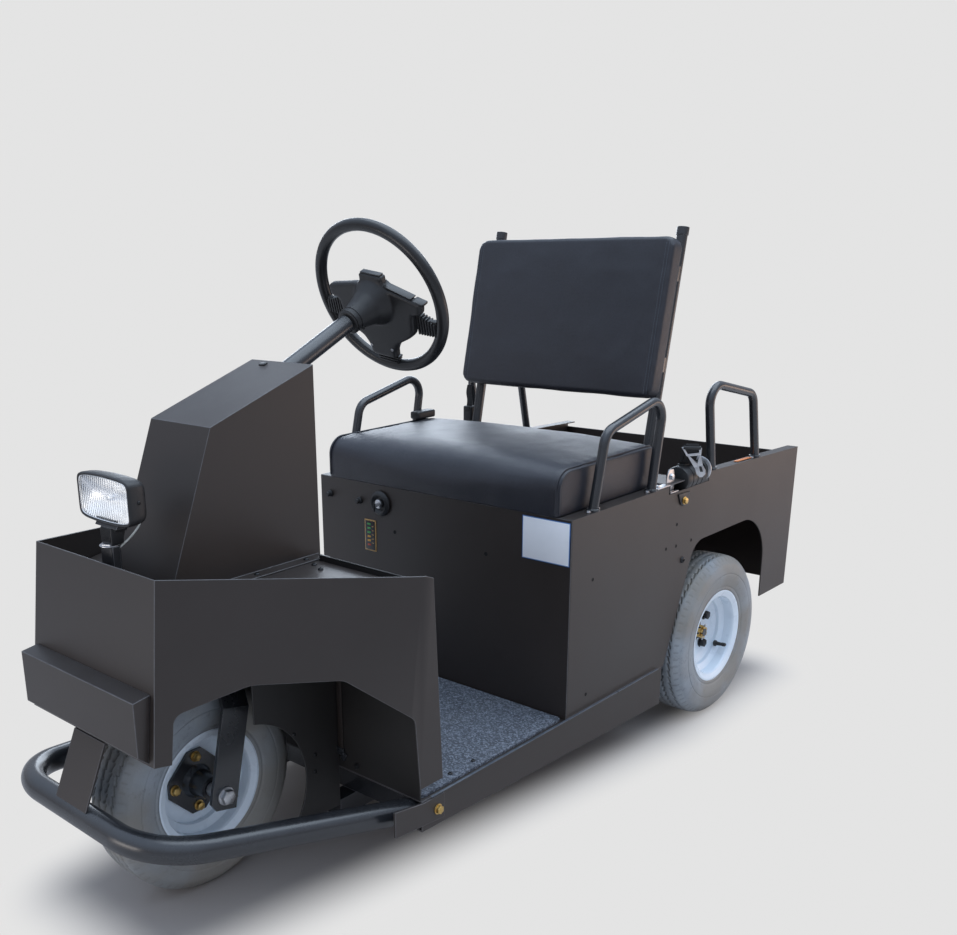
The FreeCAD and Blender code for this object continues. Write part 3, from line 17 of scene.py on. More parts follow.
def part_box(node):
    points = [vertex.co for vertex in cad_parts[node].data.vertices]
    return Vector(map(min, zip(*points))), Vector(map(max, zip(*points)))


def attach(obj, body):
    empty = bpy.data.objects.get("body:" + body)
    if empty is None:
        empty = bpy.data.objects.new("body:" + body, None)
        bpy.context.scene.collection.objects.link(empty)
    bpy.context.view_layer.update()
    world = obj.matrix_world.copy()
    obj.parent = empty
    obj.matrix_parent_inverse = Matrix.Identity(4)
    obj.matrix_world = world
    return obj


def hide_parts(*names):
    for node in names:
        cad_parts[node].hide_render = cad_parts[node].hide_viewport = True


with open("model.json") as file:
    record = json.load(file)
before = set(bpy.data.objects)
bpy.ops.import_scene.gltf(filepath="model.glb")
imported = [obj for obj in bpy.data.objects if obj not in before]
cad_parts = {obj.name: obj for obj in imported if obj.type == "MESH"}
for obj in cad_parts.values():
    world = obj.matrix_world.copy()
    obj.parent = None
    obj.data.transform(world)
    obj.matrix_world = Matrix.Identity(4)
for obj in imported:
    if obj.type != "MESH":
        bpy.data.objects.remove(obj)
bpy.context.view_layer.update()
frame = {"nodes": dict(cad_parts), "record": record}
scene = bpy.context.scene
slot_of = {part["node"]: part["material_slot"] for part in frame["record"]["subparts"]}

# %% [markdown]
# The body was drawn from the front face of the seat box, in millimetres.  Keeping that habit makes
# every size easy to check against a tape measure, so one small helper turns such a place into metres.

# %% Places in millimetres from the seat box
SEAT_PLANE = -47.25
MM = 0.001


def at(x, y, z):
    """A place in metres, from millimetres off the seat box front."""
    return Vector((x, y + SEAT_PLANE, z)) / 1000


def new_object(name, data):
    """An object in the scene, standing at the origin."""
    made = bpy.data.objects.new(name, data)
    scene.collection.objects.link(made)
    return made


# %% [markdown]
# ## Camera
# A product view from above the front left corner.  The camera is set by its heading, pitch and roll,
# then pushed sideways with lens shift, as a studio camera is, so that upright edges stay nearly upright.

# %% Camera
heading, pitch, roll = -0.7852, -0.2969, -0.0281
ahead = Vector((math.sin(heading) * math.cos(pitch), math.cos(heading) * math.cos(pitch), math.sin(pitch)))
level = Vector((math.cos(heading), -math.sin(heading), 0))
upward = level.cross(ahead)
right = math.cos(roll) * level + math.sin(roll) * upward
top = math.cos(roll) * upward - math.sin(roll) * level
camera = new_object("camera", bpy.data.cameras.new("camera"))
placed = Matrix((right, top, -ahead)).transposed().to_4x4()
placed.translation = (1.5323, -1.8167, 1.1804)
camera.matrix_world = placed
camera.data.lens, camera.data.sensor_width = 40.31, 36
camera.data.shift_x, camera.data.shift_y = 0.1232, 0.1044
scene.camera = camera
print("camera looks along", [round(v, 3) for v in ahead])

# %% [markdown]
# ## Small tools for shaders
# A node tree is easier to read when each node is made and wired in one line.  `add_node` takes the
# node's settings and its inputs together; an input may be a number, a colour or another node's output.

# %% Wiring helpers
def feed(tree, node, inputs):
    """Sets a node's inputs: a socket is linked, anything else is a constant."""
    for key, given in inputs.items():
        if isinstance(given, bpy.types.NodeSocket):
            tree.links.new(given, node.inputs[key])
        else:
            node.inputs[key].default_value = given


def add_node(tree, kind, inputs=(), **settings):
    """A shader node with its settings and inputs."""
    made = tree.nodes.new("ShaderNode" + kind)
    for name, setting in settings.items():
        setattr(made, name, setting)
    feed(tree, made, dict(inputs))
    return made


def new_effect(name, takes, gives):
    """A node group with one number in and one out: the group, its way in and its way out."""
    group = bpy.data.node_groups.new(name, "ShaderNodeTree")
    group.interface.new_socket(takes, in_out="INPUT", socket_type="NodeSocketFloat")
    group.interface.new_socket(gives, in_out="OUTPUT", socket_type="NodeSocketFloat")
    return group, group.nodes.new("NodeGroupInput").outputs[0], group.nodes.new("NodeGroupOutput").inputs[0]


def new_material(name):
    """The node tree of a new material."""
    made = bpy.data.materials.new(name)
    made.use_nodes = True
    return made.node_tree


def feed_shader(tree, **inputs):
    """Feeds a material's Principled shader; an underscore stands for a space."""
    spaced = {key.replace("_", " "): given for key, given in inputs.items()}
    feed(tree, tree.nodes["Principled BSDF"], spaced)


# %% [markdown]
# The same few nodes come back in every material, so each gets a short name of its own.

# %% Nodes by short names
def object_place(tree):
    """The shaded point in the object's own metres."""
    return add_node(tree, "TexCoord").outputs["Object"]


def along(tree, vector, axis):
    """One axis of a vector."""
    return add_node(tree, "SeparateXYZ", {0: vector}).outputs[axis]


def cloud(tree, scale, detail, roughness=0.5):
    """A noise from 0 to 1 that fills the object."""
    return add_node(tree, "TexNoise", {"Vector": object_place(tree), "Scale": scale, "Detail": detail,
                                       "Roughness": roughness}).outputs["Fac"]


def remap(tree, value, low, high, to_low=0.0, to_high=1.0, **settings):
    """A value carried from one range to another and held at its ends."""
    return add_node(tree, "MapRange", {"Value": value, "From Min": low, "From Max": high, "To Min": to_low,
                                       "To Max": to_high}, **settings).outputs["Result"]


def product(tree, first, second):
    """Two numbers multiplied."""
    return add_node(tree, "Math", {0: first, 1: second}, operation="MULTIPLY").outputs["Value"]


def tint(tone):
    """A colour from a grey number or three numbers; a socket stays as it is."""
    if isinstance(tone, bpy.types.NodeSocket):
        return tone
    return (tone, tone, tone, 1) if isinstance(tone, float) else (*tone, 1)


def blend(tree, factor, first, second):
    """One colour turning into another by a factor."""
    mix = add_node(tree, "Mix", {"Factor": factor, 6: tint(first), 7: tint(second)}, data_type="RGBA")
    return mix.outputs[2]


def effect(tree, group, amount):
    """What a shared effect gives for its one number."""
    return add_node(tree, "Group", {0: amount}, node_tree=group).outputs[0]


def bump(tree, height, microns, strength=1.0):
    """A surface raised by a height, in thousandths of a millimetre."""
    return add_node(tree, "Bump", {"Height": height, "Distance": microns * 1e-6,
                                   "Strength": strength}).outputs["Normal"]


# %% [markdown]
# ## Shared surface effects
# Real finishes share a few faults: slow cloudy changes of tone, a fine grain, dust on what faces up,
# and pale edges, which here are partly worn coat and partly a painted highlight.  Each is one node
# group that gives only a mask or a height, so every material below can use it with its own colours.

# %% Cloudiness, grain, dust on upward faces, and pale edges of wear and painted highlight
cloudy, size, result = new_effect("cloudy tone", "Size", "Mask")
cloudy.links.new(remap(cloudy, cloud(cloudy, size, 5.0, 0.62), 0.3, 0.7), result)

grainy, size, result = new_effect("fine grain", "Size", "Height")
grainy.links.new(cloud(grainy, size, 2.0), result)

dusty, amount, result = new_effect("settled dust", "Amount", "Mask")
upness = remap(dusty, along(dusty, add_node(dusty, "NewGeometry").outputs["Normal"], "Z"), 0.35, 1.0)
patches = remap(dusty, cloud(dusty, 9.0, 8.0, 0.7), 0.35, 0.75)
dusty.links.new(product(dusty, product(dusty, upness, patches), amount), result)

# Pale edges along the bevels: partly worn coat, partly a painted highlight where the edges catch the light.
edge_wear_and_highlight, amount, result = new_effect("edge wear and painted highlight", "Amount", "Mask")
edge_mark = add_node(edge_wear_and_highlight, "Attribute", attribute_name="edge").outputs["Fac"]
broken = remap(edge_wear_and_highlight, cloud(edge_wear_and_highlight, 34.0, 6.0, 0.7), 0.32, 0.62, 0.45)
edge_wear_and_highlight.links.new(product(edge_wear_and_highlight, product(edge_wear_and_highlight, edge_mark, broken), amount), result)
print("effects:", [group.name for group in bpy.data.node_groups])

# %% [markdown]
# ## Finishes
# Most surfaces are one of a family: a dark and a light tone mixed by the cloudiness, a roughness that
# drifts with it, a grain that raises the surface, then dust and pale edges of wear and painted
# highlight.  `make_finish` builds that family; what makes powder coat differ from cast iron is only its
# numbers.

# %% One recipe for paint, plastic and metal
def make_finish(name, dark, light, rough=(0.35, 0.5), clouds=6.0, grain=600.0, height=40, dust=0.0,
                edge=0.0, edge_colour=(0.2, 0.2, 0.21), dust_colour=(0.32, 0.31, 0.30), **constants):
    """A Principled finish from two tones, with drifting roughness, grain, dust and pale edges of wear and
    painted highlight.
    """
    tree = new_material(name)
    tone = effect(tree, cloudy, clouds)
    colour = blend(tree, tone, dark, light)
    if edge:
        colour = blend(tree, effect(tree, edge_wear_and_highlight, edge), colour, edge_colour)
    if dust:
        colour = blend(tree, effect(tree, dusty, dust), colour, dust_colour)
    feed_shader(tree, Base_Color=colour, Roughness=remap(tree, tone, 0.0, 1.0, *rough),
                Normal=bump(tree, effect(tree, grainy, grain), height), **constants)


def make_finishes(rows):
    """Finishes from rows: tones, roughness, cloud and grain scales, grain height, and what is special."""
    for name, (dark, light, rough, clouds, grain, height, special) in rows.items():
        make_finish(name, dark, light, rough, clouds, grain, height, **special)
    print(len(bpy.data.materials), "finishes so far")


# %% [markdown]
# Powder coat is black plastic melted onto steel: satin, faintly pebbled, a little warm where light
# skims it.  Tubes are sprayed smoother.  The rims are the brightest paint on the vehicle, so they stay
# below pure white and keep their shading.

# %% Paints
make_finishes({
    "powder coat": ((0.0222, 0.0158, 0.0130), (0.0300, 0.0224, 0.0192), (0.40, 0.50), 3, 900, 60,
                    dict(dust=0.05, edge=0.55, edge_colour=(0.17, 0.17, 0.18), Specular_IOR_Level=0.62)),
    # A darker copy of the powder coat for the wheel well walls and leg shield: painted shade for that
    # recess.
    "wheel well painted shade": ((0.011, 0.0095, 0.0088), (0.017, 0.0148, 0.0138), (0.46, 0.58), 4, 800, 80,
                        dict(dust=0.10, edge=0.35, edge_colour=0.10)),
    "tube coat": ((0.016, 0.017, 0.020), (0.024, 0.026, 0.030), (0.21, 0.29), 9, 700, 50,
                  dict(dust=0.06, edge=0.3, Specular_IOR_Level=0.8)),
    # Pale bluish coat for the skirt ledges: a painted highlight.
    "skirt painted highlight": ((0.05, 0.06, 0.075), (0.11, 0.125, 0.15), (0.25, 0.4), 30, 700, 50, {}),
    "rim white": ((0.74, 0.83, 0.92), (0.80, 0.89, 0.97), (0.22, 0.34), 14, 260, 80,
                  dict(dust=0.12, dust_colour=(0.42, 0.41, 0.39), edge=0.2, edge_colour=(0.5, 0.52, 0.54))),
    "casting black": (0.02, 0.05, (0.5, 0.72), 22, 260, 400, dict(dust=0.3)),
    "motor paint": ((0.035, 0.035, 0.036), 0.06, (0.38, 0.5), 12, 500, 100, dict(dust=0.25)),
    "battery case": ((0.02, 0.02, 0.022), (0.035, 0.035, 0.038), (0.4, 0.55), 12, 420, 100, dict(dust=0.2)),
})

# %% [markdown]
# Plastics, plated steel and brass-yellow zinc use the same recipe.  Metal keeps almost no diffuse
# light, so its tones are pale and its roughness carries the wear.

# %% Plastics and metals
make_finishes({
    "moulded black": ((0.014, 0.014, 0.015), (0.022, 0.022, 0.023), (0.38, 0.5), 20, 1500, 50,
                      dict(dust=0.05)),
    "grip black": ((0.012, 0.012, 0.013), (0.019, 0.019, 0.02), (0.25, 0.36), 16, 1100, 30,
                   dict(dust=0.04)),
    "blackened bolt": ((0.02, 0.02, 0.021), (0.05, 0.05, 0.052), (0.3, 0.45), 60, 900, 50,
                       dict(Metallic=0.7)),
    "zinc plate": ((0.50, 0.51, 0.53), (0.66, 0.67, 0.69), (0.24, 0.42), 45, 800, 50, dict(Metallic=1.0)),
    "yellow zinc": ((0.52, 0.33, 0.10), (0.70, 0.50, 0.20), (0.26, 0.42), 70, 800, 50, dict(Metallic=1.0)),
    "bare steel": ((0.36, 0.36, 0.37), (0.5, 0.5, 0.51), (0.3, 0.5), 40, 600, 60, dict(Metallic=1.0)),
    "black rubber": (0.012, 0.02, (0.55, 0.7), 30, 500, 100, dict(dust=0.15)),
    "post grey": ((0.030, 0.030, 0.032), (0.050, 0.050, 0.052), (0.34, 0.46), 25, 700, 60,
                  dict(edge=0.5, edge_colour=(0.5, 0.5, 0.52), Metallic=0.4)),
    "lead white": ((0.52, 0.50, 0.44), (0.66, 0.64, 0.58), (0.4, 0.5), 30, 500, 40, {}),
    "red button": ((0.45, 0.02, 0.015), (0.55, 0.03, 0.02), (0.3, 0.4), 30, 900, 30, {}),
    "marker orange": ((0.62, 0.16, 0.03), (0.75, 0.24, 0.05), (0.35, 0.45), 30, 900, 30, {}),
})

# %% [markdown]
# The floor mat is rubber with grey-blue flecks.  Small cells of a Voronoi pattern, kept only where
# they are brightest, read as flecks over a cloudy base.

# %% Speckled mat
tree = new_material("speckled rubber")
flecks = add_node(tree, "TexVoronoi", {"Vector": object_place(tree), "Scale": 330.0})
red = add_node(tree, "SeparateColor", {"Color": flecks.outputs["Color"]}).outputs["Red"]
base = blend(tree, effect(tree, cloudy, 7.0), (0.040, 0.047, 0.060), (0.066, 0.076, 0.096))
speckled = blend(tree, remap(tree, red, 0.45, 0.95), base, (0.20, 0.225, 0.27))
trodden = blend(tree, effect(tree, dusty, 0.10), speckled, 0.30)
feed_shader(tree, Base_Color=trodden, Roughness=0.72,
            Normal=bump(tree, flecks.outputs["Distance"], 600, 0.6))

# %% [markdown]
# The seat is grained vinyl: pebbles a millimetre or two across with thin valleys between them.
# Distance to the edge of a Voronoi cell gives those valleys.  The gloss drifts with the cloudiness,
# because hands and trousers polish vinyl unevenly.

# %% Grained vinyl
vinyl_grain, size, result = new_effect("vinyl grain", "Size", "Height")
place_of = object_place(vinyl_grain)
bend = add_node(vinyl_grain, "TexNoise", {"Vector": place_of, "Scale": 300.0, "Detail": 2.0})
shift = add_node(vinyl_grain, "VectorMath", {0: bend.outputs["Color"], "Scale": 0.0012},
                 operation="SCALE").outputs["Vector"]
moved = add_node(vinyl_grain, "VectorMath", {0: place_of, 1: shift}, operation="ADD").outputs["Vector"]
cells = add_node(vinyl_grain, "TexVoronoi", {"Vector": moved, "Scale": size}, feature="DISTANCE_TO_EDGE")
vinyl_grain.links.new(remap(vinyl_grain, cells.outputs["Distance"], 0.0, 0.22), result)

tree = new_material("grained vinyl")
tone = effect(tree, cloudy, 5.0)
pebbles = effect(tree, vinyl_grain, 520.0)
base = blend(tree, tone, (0.016, 0.0175, 0.027), (0.024, 0.026, 0.040))
feed_shader(tree, Base_Color=blend(tree, pebbles, (0.008, 0.009, 0.012), base),
            Roughness=remap(tree, tone, 0.0, 1.0, 0.34, 0.46), Normal=bump(tree, pebbles, 160, 0.8),
            Specular_IOR_Level=0.62)

# %% [markdown]
# The tyres are pale grey rubber that doesn't mark floors.  The tyre pieces carry a `groove` attribute,
# and the material is darker in the grooves by it.  Dark scuffs and brown stains lie over both.

# %% Grey tyre rubber
tree = new_material("grey tyre rubber")
tone = effect(tree, cloudy, 11.0)
base = blend(tree, tone, (0.245, 0.275, 0.305), (0.36, 0.40, 0.44))
groove = add_node(tree, "Attribute", attribute_name="groove").outputs["Fac"]
groove_darkened = blend(tree, groove, base, (0.105, 0.105, 0.102))
rubbed = blend(tree, remap(tree, cloud(tree, 60.0, 9.0, 0.75), 0.54, 0.70, 0.0, 0.6), groove_darkened, 0.13)
stain = remap(tree, cloud(tree, 5.0, 3.0), 0.42, 0.62, 0.0, 0.75)
feed_shader(tree, Base_Color=blend(tree, stain, rubbed, (0.25, 0.225, 0.185)),
            Roughness=remap(tree, tone, 0.0, 1.0, 0.48, 0.62),
            Normal=bump(tree, effect(tree, grainy, 420.0), 150))

# %% [markdown]
# Belt webbing is woven: thick ribs across, fine yarn along.  Waves in both directions give the ribs,
# and they follow the strap's own UV map, so the weave bends with the strap.

# %% Woven webbing
tree = new_material("black webbing")
strap_map = add_node(tree, "UVMap", uv_map="strap").outputs["UV"]
ribs, yarn = (add_node(tree, "TexWave", {"Vector": strap_map, "Scale": scale}, bands_direction=way)
              for scale, way in ((1.1, "Y"), (3.0, "X")))
weave = product(tree, ribs.outputs["Fac"], yarn.outputs["Fac"])
feed_shader(tree, Base_Color=blend(tree, weave, (0.008, 0.008, 0.009), (0.035, 0.035, 0.038)),
            Roughness=0.7, Normal=bump(tree, weave, 400, 0.7))

# %% [markdown]
# The headlamp has a clear moulded lens over a bright reflector.  Glass keeps plain metallic and
# transmission values; only its roughness drifts a little.  The reflector is vacuum-coated metal, and
# the lower half of the bowl glows faintly: a painted reflection that brightens the lower bowl.

# %% Lamp glass and reflector
tree = new_material("lamp glass")
feed_shader(tree, Base_Color=tint((0.93, 0.96, 1.0)), Transmission_Weight=1.0, IOR=1.45,
            Roughness=remap(tree, effect(tree, cloudy, 40.0), 0.0, 1.0, 0.02, 0.07))
make_finishes({
    "reflector coat": (0.90, 0.97, (0.26, 0.34), 30, 200, 100, dict(Metallic=1.0)),
    "lamp bowl with painted glow": ((0.90, 0.88, 0.85), (0.97, 0.95, 0.92), (0.26, 0.34), 30, 200, 100,
                  dict(Metallic=1.0, Emission_Color=tint((1.0, 0.99, 0.97)))),
})
# The glow of the lower bowl is a painted reflection, growing towards the bottom of the bowl.
PAINTED_GLOW_FROM, PAINTED_GLOW_FULL, PAINTED_GLOW = 0.790, 0.766, 0.55
tree = bpy.data.materials["lamp bowl with painted glow"].node_tree
rise = along(tree, object_place(tree), "Z")
feed_shader(tree, Emission_Strength=remap(tree, rise, PAINTED_GLOW_FROM, PAINTED_GLOW_FULL, 0.0, PAINTED_GLOW,
                                          interpolation_type="SMOOTHSTEP"))

# %% [markdown]
# Two flat plates carry no words here.  The label is white card with a thin blue edge, and the charge
# gauge is a dark strip with a row of coloured lamps behind a smooth face.

# %% Label card and gauge face
PLAIN = ((0.35, 0.5), 90, 600, 40, {})
make_finishes({
    "label card": ((0.88, 0.90, 0.93), (0.93, 0.95, 0.98), (0.35, 0.5), 16, 700, 20, {}),
    "label edge": ((0.05, 0.16, 0.42), (0.08, 0.22, 0.52), (0.35, 0.5), 40, 700, 20, {}),
    "gauge face": ((0.010, 0.010, 0.012), (0.02, 0.02, 0.022), (0.12, 0.2), 60, 900, 10, {}),
    "gauge gold": ((0.42, 0.24, 0.08), (0.55, 0.34, 0.13), (0.3, 0.42), 60, 900, 20, {}),
    "gauge red": ((0.40, 0.04, 0.02), (0.5, 0.06, 0.03), *PLAIN),
    "gauge amber": ((0.60, 0.30, 0.04), (0.7, 0.36, 0.06), *PLAIN),
    "gauge green": ((0.05, 0.32, 0.08), (0.08, 0.4, 0.11), *PLAIN),
})

# %% [markdown]
# ## Studio
# The vehicle stands on a wide pale floor.  Under and beside it the floor is a real surface that takes
# the shadow, and its own colour there is darker too, a painted shadow.  Over the next fifth of a metre
# that painted shadow lightens to the pale floor colour, and the floor fades, for the camera only, into
# the plain backdrop tone.  The solid part is wider towards the rear, where the shadow falls further out.

# %% Floor
BACKDROP = 0.775
SOLID_LONG, FADE_WIDE = 0.90, 0.20
shape = bmesh.new()
bmesh.ops.create_circle(shape, cap_ends=True, segments=96, radius=24.0)
floor_mesh = bpy.data.meshes.new("studio_floor")
shape.to_mesh(floor_mesh)
shape.free()
new_object("studio_floor", floor_mesh)
tree = new_material("studio floor")
floor_mesh.materials.append(bpy.data.materials["studio floor"])
place_of = object_place(tree)
mirrored = add_node(tree, "VectorMath", {0: place_of}, operation="ABSOLUTE")
half_wide = remap(tree, along(tree, place_of, "Y"), -0.9, 0.4, 0.11, 0.29)
solid = add_node(tree, "CombineXYZ", {0: half_wide, 1: SOLID_LONG}).outputs["Vector"]
beyond = add_node(tree, "VectorMath", {0: mirrored.outputs[0], 1: solid}, operation="SUBTRACT")
outside = add_node(tree, "VectorMath", {0: beyond.outputs[0], 1: (0.0, 0.0, 0.0)}, operation="MAXIMUM")
away = add_node(tree, "VectorMath", {0: outside.outputs[0]}, operation="LENGTH").outputs["Value"]
fade = remap(tree, away, 0.0, FADE_WIDE, interpolation_type="SMOOTHSTEP")
# The floor's colour is darker under and beside the vehicle: a painted shadow that lightens with the fade.
feed_shader(tree, Base_Color=blend(tree, fade, (0.39, 0.36, 0.34), (0.58, 0.54, 0.51)), Roughness=0.9,
            Specular_IOR_Level=0.0)


def for_camera(tree, factor, real, plain, output):
    """Shows the camera a plain shader by a factor; light meets the real one."""
    chosen = add_node(tree, "MixShader", {0: factor, 1: real.outputs[0], 2: plain.outputs[0]})
    tree.links.new(chosen.outputs["Shader"], tree.nodes[output].inputs["Surface"])


seen = product(tree, fade, add_node(tree, "LightPath").outputs["Is Camera Ray"])
for_camera(tree, seen, tree.nodes["Principled BSDF"], add_node(tree, "Emission", {"Color": tint(BACKDROP)}),
           "Material Output")

# %% [markdown]
# The light is a soft sky, brighter overhead, with a cool panel above, another low behind that lays a
# sheen on every upward face, and two weak warm ones in front and on the vehicle's left.

# %% World and lamps
world = bpy.data.worlds.new("studio")
world.use_nodes = True
scene.world = world
tree = world.node_tree
direction = add_node(tree, "TexCoord").outputs["Generated"]
rise = remap(tree, along(tree, direction, "Z"), -0.05, 0.8)
feed(tree, tree.nodes["Background"], {"Color": blend(tree, rise, (0.30, 0.275, 0.265), (0.76, 0.92, 1.18))})
for_camera(tree, add_node(tree, "LightPath").outputs["Is Camera Ray"], tree.nodes["Background"],
           add_node(tree, "Background", {"Color": tint(BACKDROP), "Strength": 1.0}), "World Output")


def add_panel(name, place, aim, wide, tall, power, colour):
    """A rectangular area lamp at a place, facing aim."""
    lamp = bpy.data.lights.new(name, "AREA")
    lamp.shape = "RECTANGLE"
    lamp.size, lamp.size_y = wide, tall
    lamp.energy, lamp.color = power, colour
    panel = new_object(name, lamp)
    panel.location = place
    panel.rotation_euler = (Vector(aim) - Vector(place)).to_track_quat("-Z", "Y").to_euler()


add_panel("overhead panel", (0.4, 0.6, 3.4), (0, 0, 0.4), 3.2, 3.6, 70, (0.78, 0.89, 1.0))
add_panel("back panel", (-3.4, 3.6, 2.1), (0, 0, 0.7), 3.6, 1.6, 85, (0.80, 0.89, 1.0))
add_panel("front panel", (-0.5, -3.3, 0.5), (0, -0.9, 0.35), 1.8, 0.7, 11, (1.0, 0.93, 0.88))
add_panel("left panel", (2.2, 2.9, 0.55), (0.37, 0.3, 0.4), 2.0, 0.9, 12, (1.0, 0.70, 0.52))
scene.view_settings.view_transform = "Standard"
print("lamps:", [lamp.name for lamp in bpy.data.lights])

# %% [markdown]
# ## Turning a bmesh into a piece
# Each piece is finished the same way: doubles merged, faces turned outwards, its finishes added, sharp
# edges marked by angle, and its body named so that it moves with the steering or the wheels.

# %% Adding a piece
def add_piece(name, shape, finishes, body="chassis", stands_for=(), sharp=35, recalc=True):
    """Makes a mesh object from a bmesh, finishes it and lets it ride on a body."""
    bmesh.ops.remove_doubles(shape, verts=shape.verts, dist=1e-6)
    if recalc:
        bmesh.ops.recalc_face_normals(shape, faces=shape.faces)
    mesh = bpy.data.meshes.new(name)
    shape.to_mesh(mesh)
    shape.free()
    for finish in finishes:
        mesh.materials.append(bpy.data.materials[finish])
    mesh.shade_smooth()
    mesh.set_sharp_from_angle(angle=math.radians(sharp))
    piece = new_object(name, mesh)
    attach(piece, body)
    if stands_for:
        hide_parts(*stands_for)
    print(f"{name}: {len(mesh.polygons)} faces on {body}")
    return piece


def round_edges(shape, edges, radius, steps):
    """Bevels edges by a radius in millimetres."""
    return bmesh.ops.bevel(shape, geom=edges, offset=radius * MM, offset_type="OFFSET", affect="EDGES",
                           segments=steps, profile=0.5, material=-1, clamp_overlap=True)


# %% [markdown]
# ## Softened sheet metal
# Folded and cut steel never has a knife edge: a fold has an outside radius, and the coat pools round
# a cut.  A copy of each sheet part is merged, its flat faces dissolved into single polygons, and every
# sharp edge bevelled by about a millimetre.  The bevels carry the `edge` mark that the pale-edge effect
# reads, which gives the thin pale line that outlines each panel: partly worn coat, partly a painted
# highlight where the fold catches the light.  Weighted normals let the large flat faces keep their own
# direction, so the bevels do not shade across them.

# %% Softened copies
def soften(node, finish, width=1.0, body="chassis"):
    """A merged copy of a part with bevelled edges, standing for the part."""
    shape = bmesh.new()
    shape.from_mesh(frame["nodes"][node].data)
    bmesh.ops.remove_doubles(shape, verts=shape.verts, dist=2e-6)
    bmesh.ops.dissolve_limit(shape, angle_limit=math.radians(0.4), verts=shape.verts, edges=shape.edges)
    mark = shape.faces.layers.float.new("edge")
    limit = math.radians(28)
    sharp = [e for e in shape.edges if len(e.link_faces) == 2 and e.calc_face_angle() > limit]
    for face in round_edges(shape, sharp, width, 2)["faces"]:
        face[mark] = 1.0
    piece = add_piece("soft_" + node, shape, [finish], body, (node,), sharp=40, recalc=False)
    weigh = piece.modifiers.new("flat faces stay flat", "WEIGHTED_NORMAL")
    weigh.weight = 100
    weigh.keep_sharp = True


# The neck walls and leg shield take the darker coat, a painted shade for the wheel well.
for node in ("floor_pan", "front_cowl", "leg_shield", "cowl_deck", "neck_walls", "bumper_box",
             "bumper_mounts", "steering_tower", "tower_cover", "side_panel_left", "side_panel_right",
             "seat_box_front", "seat_deck", "cargo_front_wall", "cargo_floor", "cargo_rear_wall"):
    soften(node, "wheel well painted shade" if node in ("neck_walls", "leg_shield") else "powder coat",
           1.3 if node == "bumper_box" else 1.0)
for node in ("backrest_frame", "foot_pedals", "chassis_frame"):
    soften(node, "tube coat")
for node in ("fork_legs", "fork_crown"):
    soften(node, "tube coat", body="fork")
soften("lamp_bracket", "post grey")

# %% [markdown]
# Parts whose shape is already right keep their own mesh and only get a finish.

# %% Finishes on the parts that stay
FINISH_OF_SLOT = {
    "body_paint": "powder coat", "frame_paint": "tube coat", "floor_mat": "speckled rubber",
    "black_plastic": "moulded black", "wheel_rim_plastic": "grip black", "lens": "lamp glass",
    "casting": "casting black", "motor_case": "motor paint", "battery_case": "battery case",
    "upholstery": "grained vinyl", "bright_steel": "zinc plate", "bare_steel": "bare steel",
    "lead_wire": "lead white", "rim_paint": "rim white", "tyre": "grey tyre rubber",
}
for node, part in frame["nodes"].items():
    part.data.materials.clear()
    part.data.materials.append(bpy.data.materials[FINISH_OF_SLOT[slot_of[node]]])
print(len(frame["nodes"]), "parts finished by slot")

# %% [markdown]
# ## Solid shapes by operator
# Small hardware needs only a few basic moves: a bevelled block, a turned profile, a flat outline with
# thickness.  Each helper adds its shape to an open bmesh, so that many small things become one mesh.
# Places come from `at`, in metres; sizes, profiles and edge radii are millimetres.

# %% Block, turned part and plate
def turned_to(axis):
    """A rotation that takes +Z to the given axis."""
    return Vector(axis).to_track_quat("Z", "Y").to_matrix().to_4x4()


def paint_new(shape, before, finish):
    """Gives every face that isn't in the set before the finish number."""
    for face in shape.faces:
        if face not in before:
            face.material_index = finish


def round_and_stand(shape, made, edges, radius, steps, stand):
    """Rounds some edges of a new solid, then moves the whole of it."""
    rounded = round_edges(shape, list(edges), radius, steps)["faces"]
    corners = {v for f in rounded for v in f.verts} | {v for v in made if v.is_valid}
    bmesh.ops.transform(shape, matrix=stand, verts=list(corners))


def add_block(shape, centre, size, round_by, steps=2, turn=Matrix.Identity(4), finish=0):
    """A box at a centre with rounded edges, turned about its centre."""
    before = set(shape.faces)
    made = bmesh.ops.create_cube(shape, size=1.0)["verts"]
    bmesh.ops.scale(shape, vec=Vector(size) * MM, verts=made)
    edges = {e for v in made for e in v.link_edges}
    round_and_stand(shape, made, edges, round_by, steps, Matrix.Translation(centre) @ turn)
    paint_new(shape, before, finish)


def add_blocks(shape, rows, **kept):
    """Blocks from rows of a place, a size and an edge radius."""
    for place, size, round_by in rows:
        add_block(shape, at(*place), size, round_by, **kept)


def add_turned(shape, profile, place, axis, steps, finish=0):
    """Spins a profile of (radius, height) about an axis through a place, and closes its ends."""
    before = set(shape.faces)
    stand = Matrix.Translation(place) @ turned_to(axis)
    points = [shape.verts.new(stand @ (Vector((radius, 0, height)) * MM)) for radius, height in profile]
    lines = [shape.edges.new(pair) for pair in zip(points, points[1:])]
    bmesh.ops.spin(shape, geom=points + lines, cent=place, axis=stand.to_3x3() @ Vector((0, 0, 1)),
                   angle=math.tau, steps=steps, use_merge=True, use_duplicate=False)
    bmesh.ops.remove_doubles(shape, verts=shape.verts, dist=1e-7)
    open_ends = {e for f in shape.faces if f not in before for e in f.edges if e.is_boundary}
    bmesh.ops.holes_fill(shape, edges=list(open_ends), sides=0)
    paint_new(shape, before, finish)


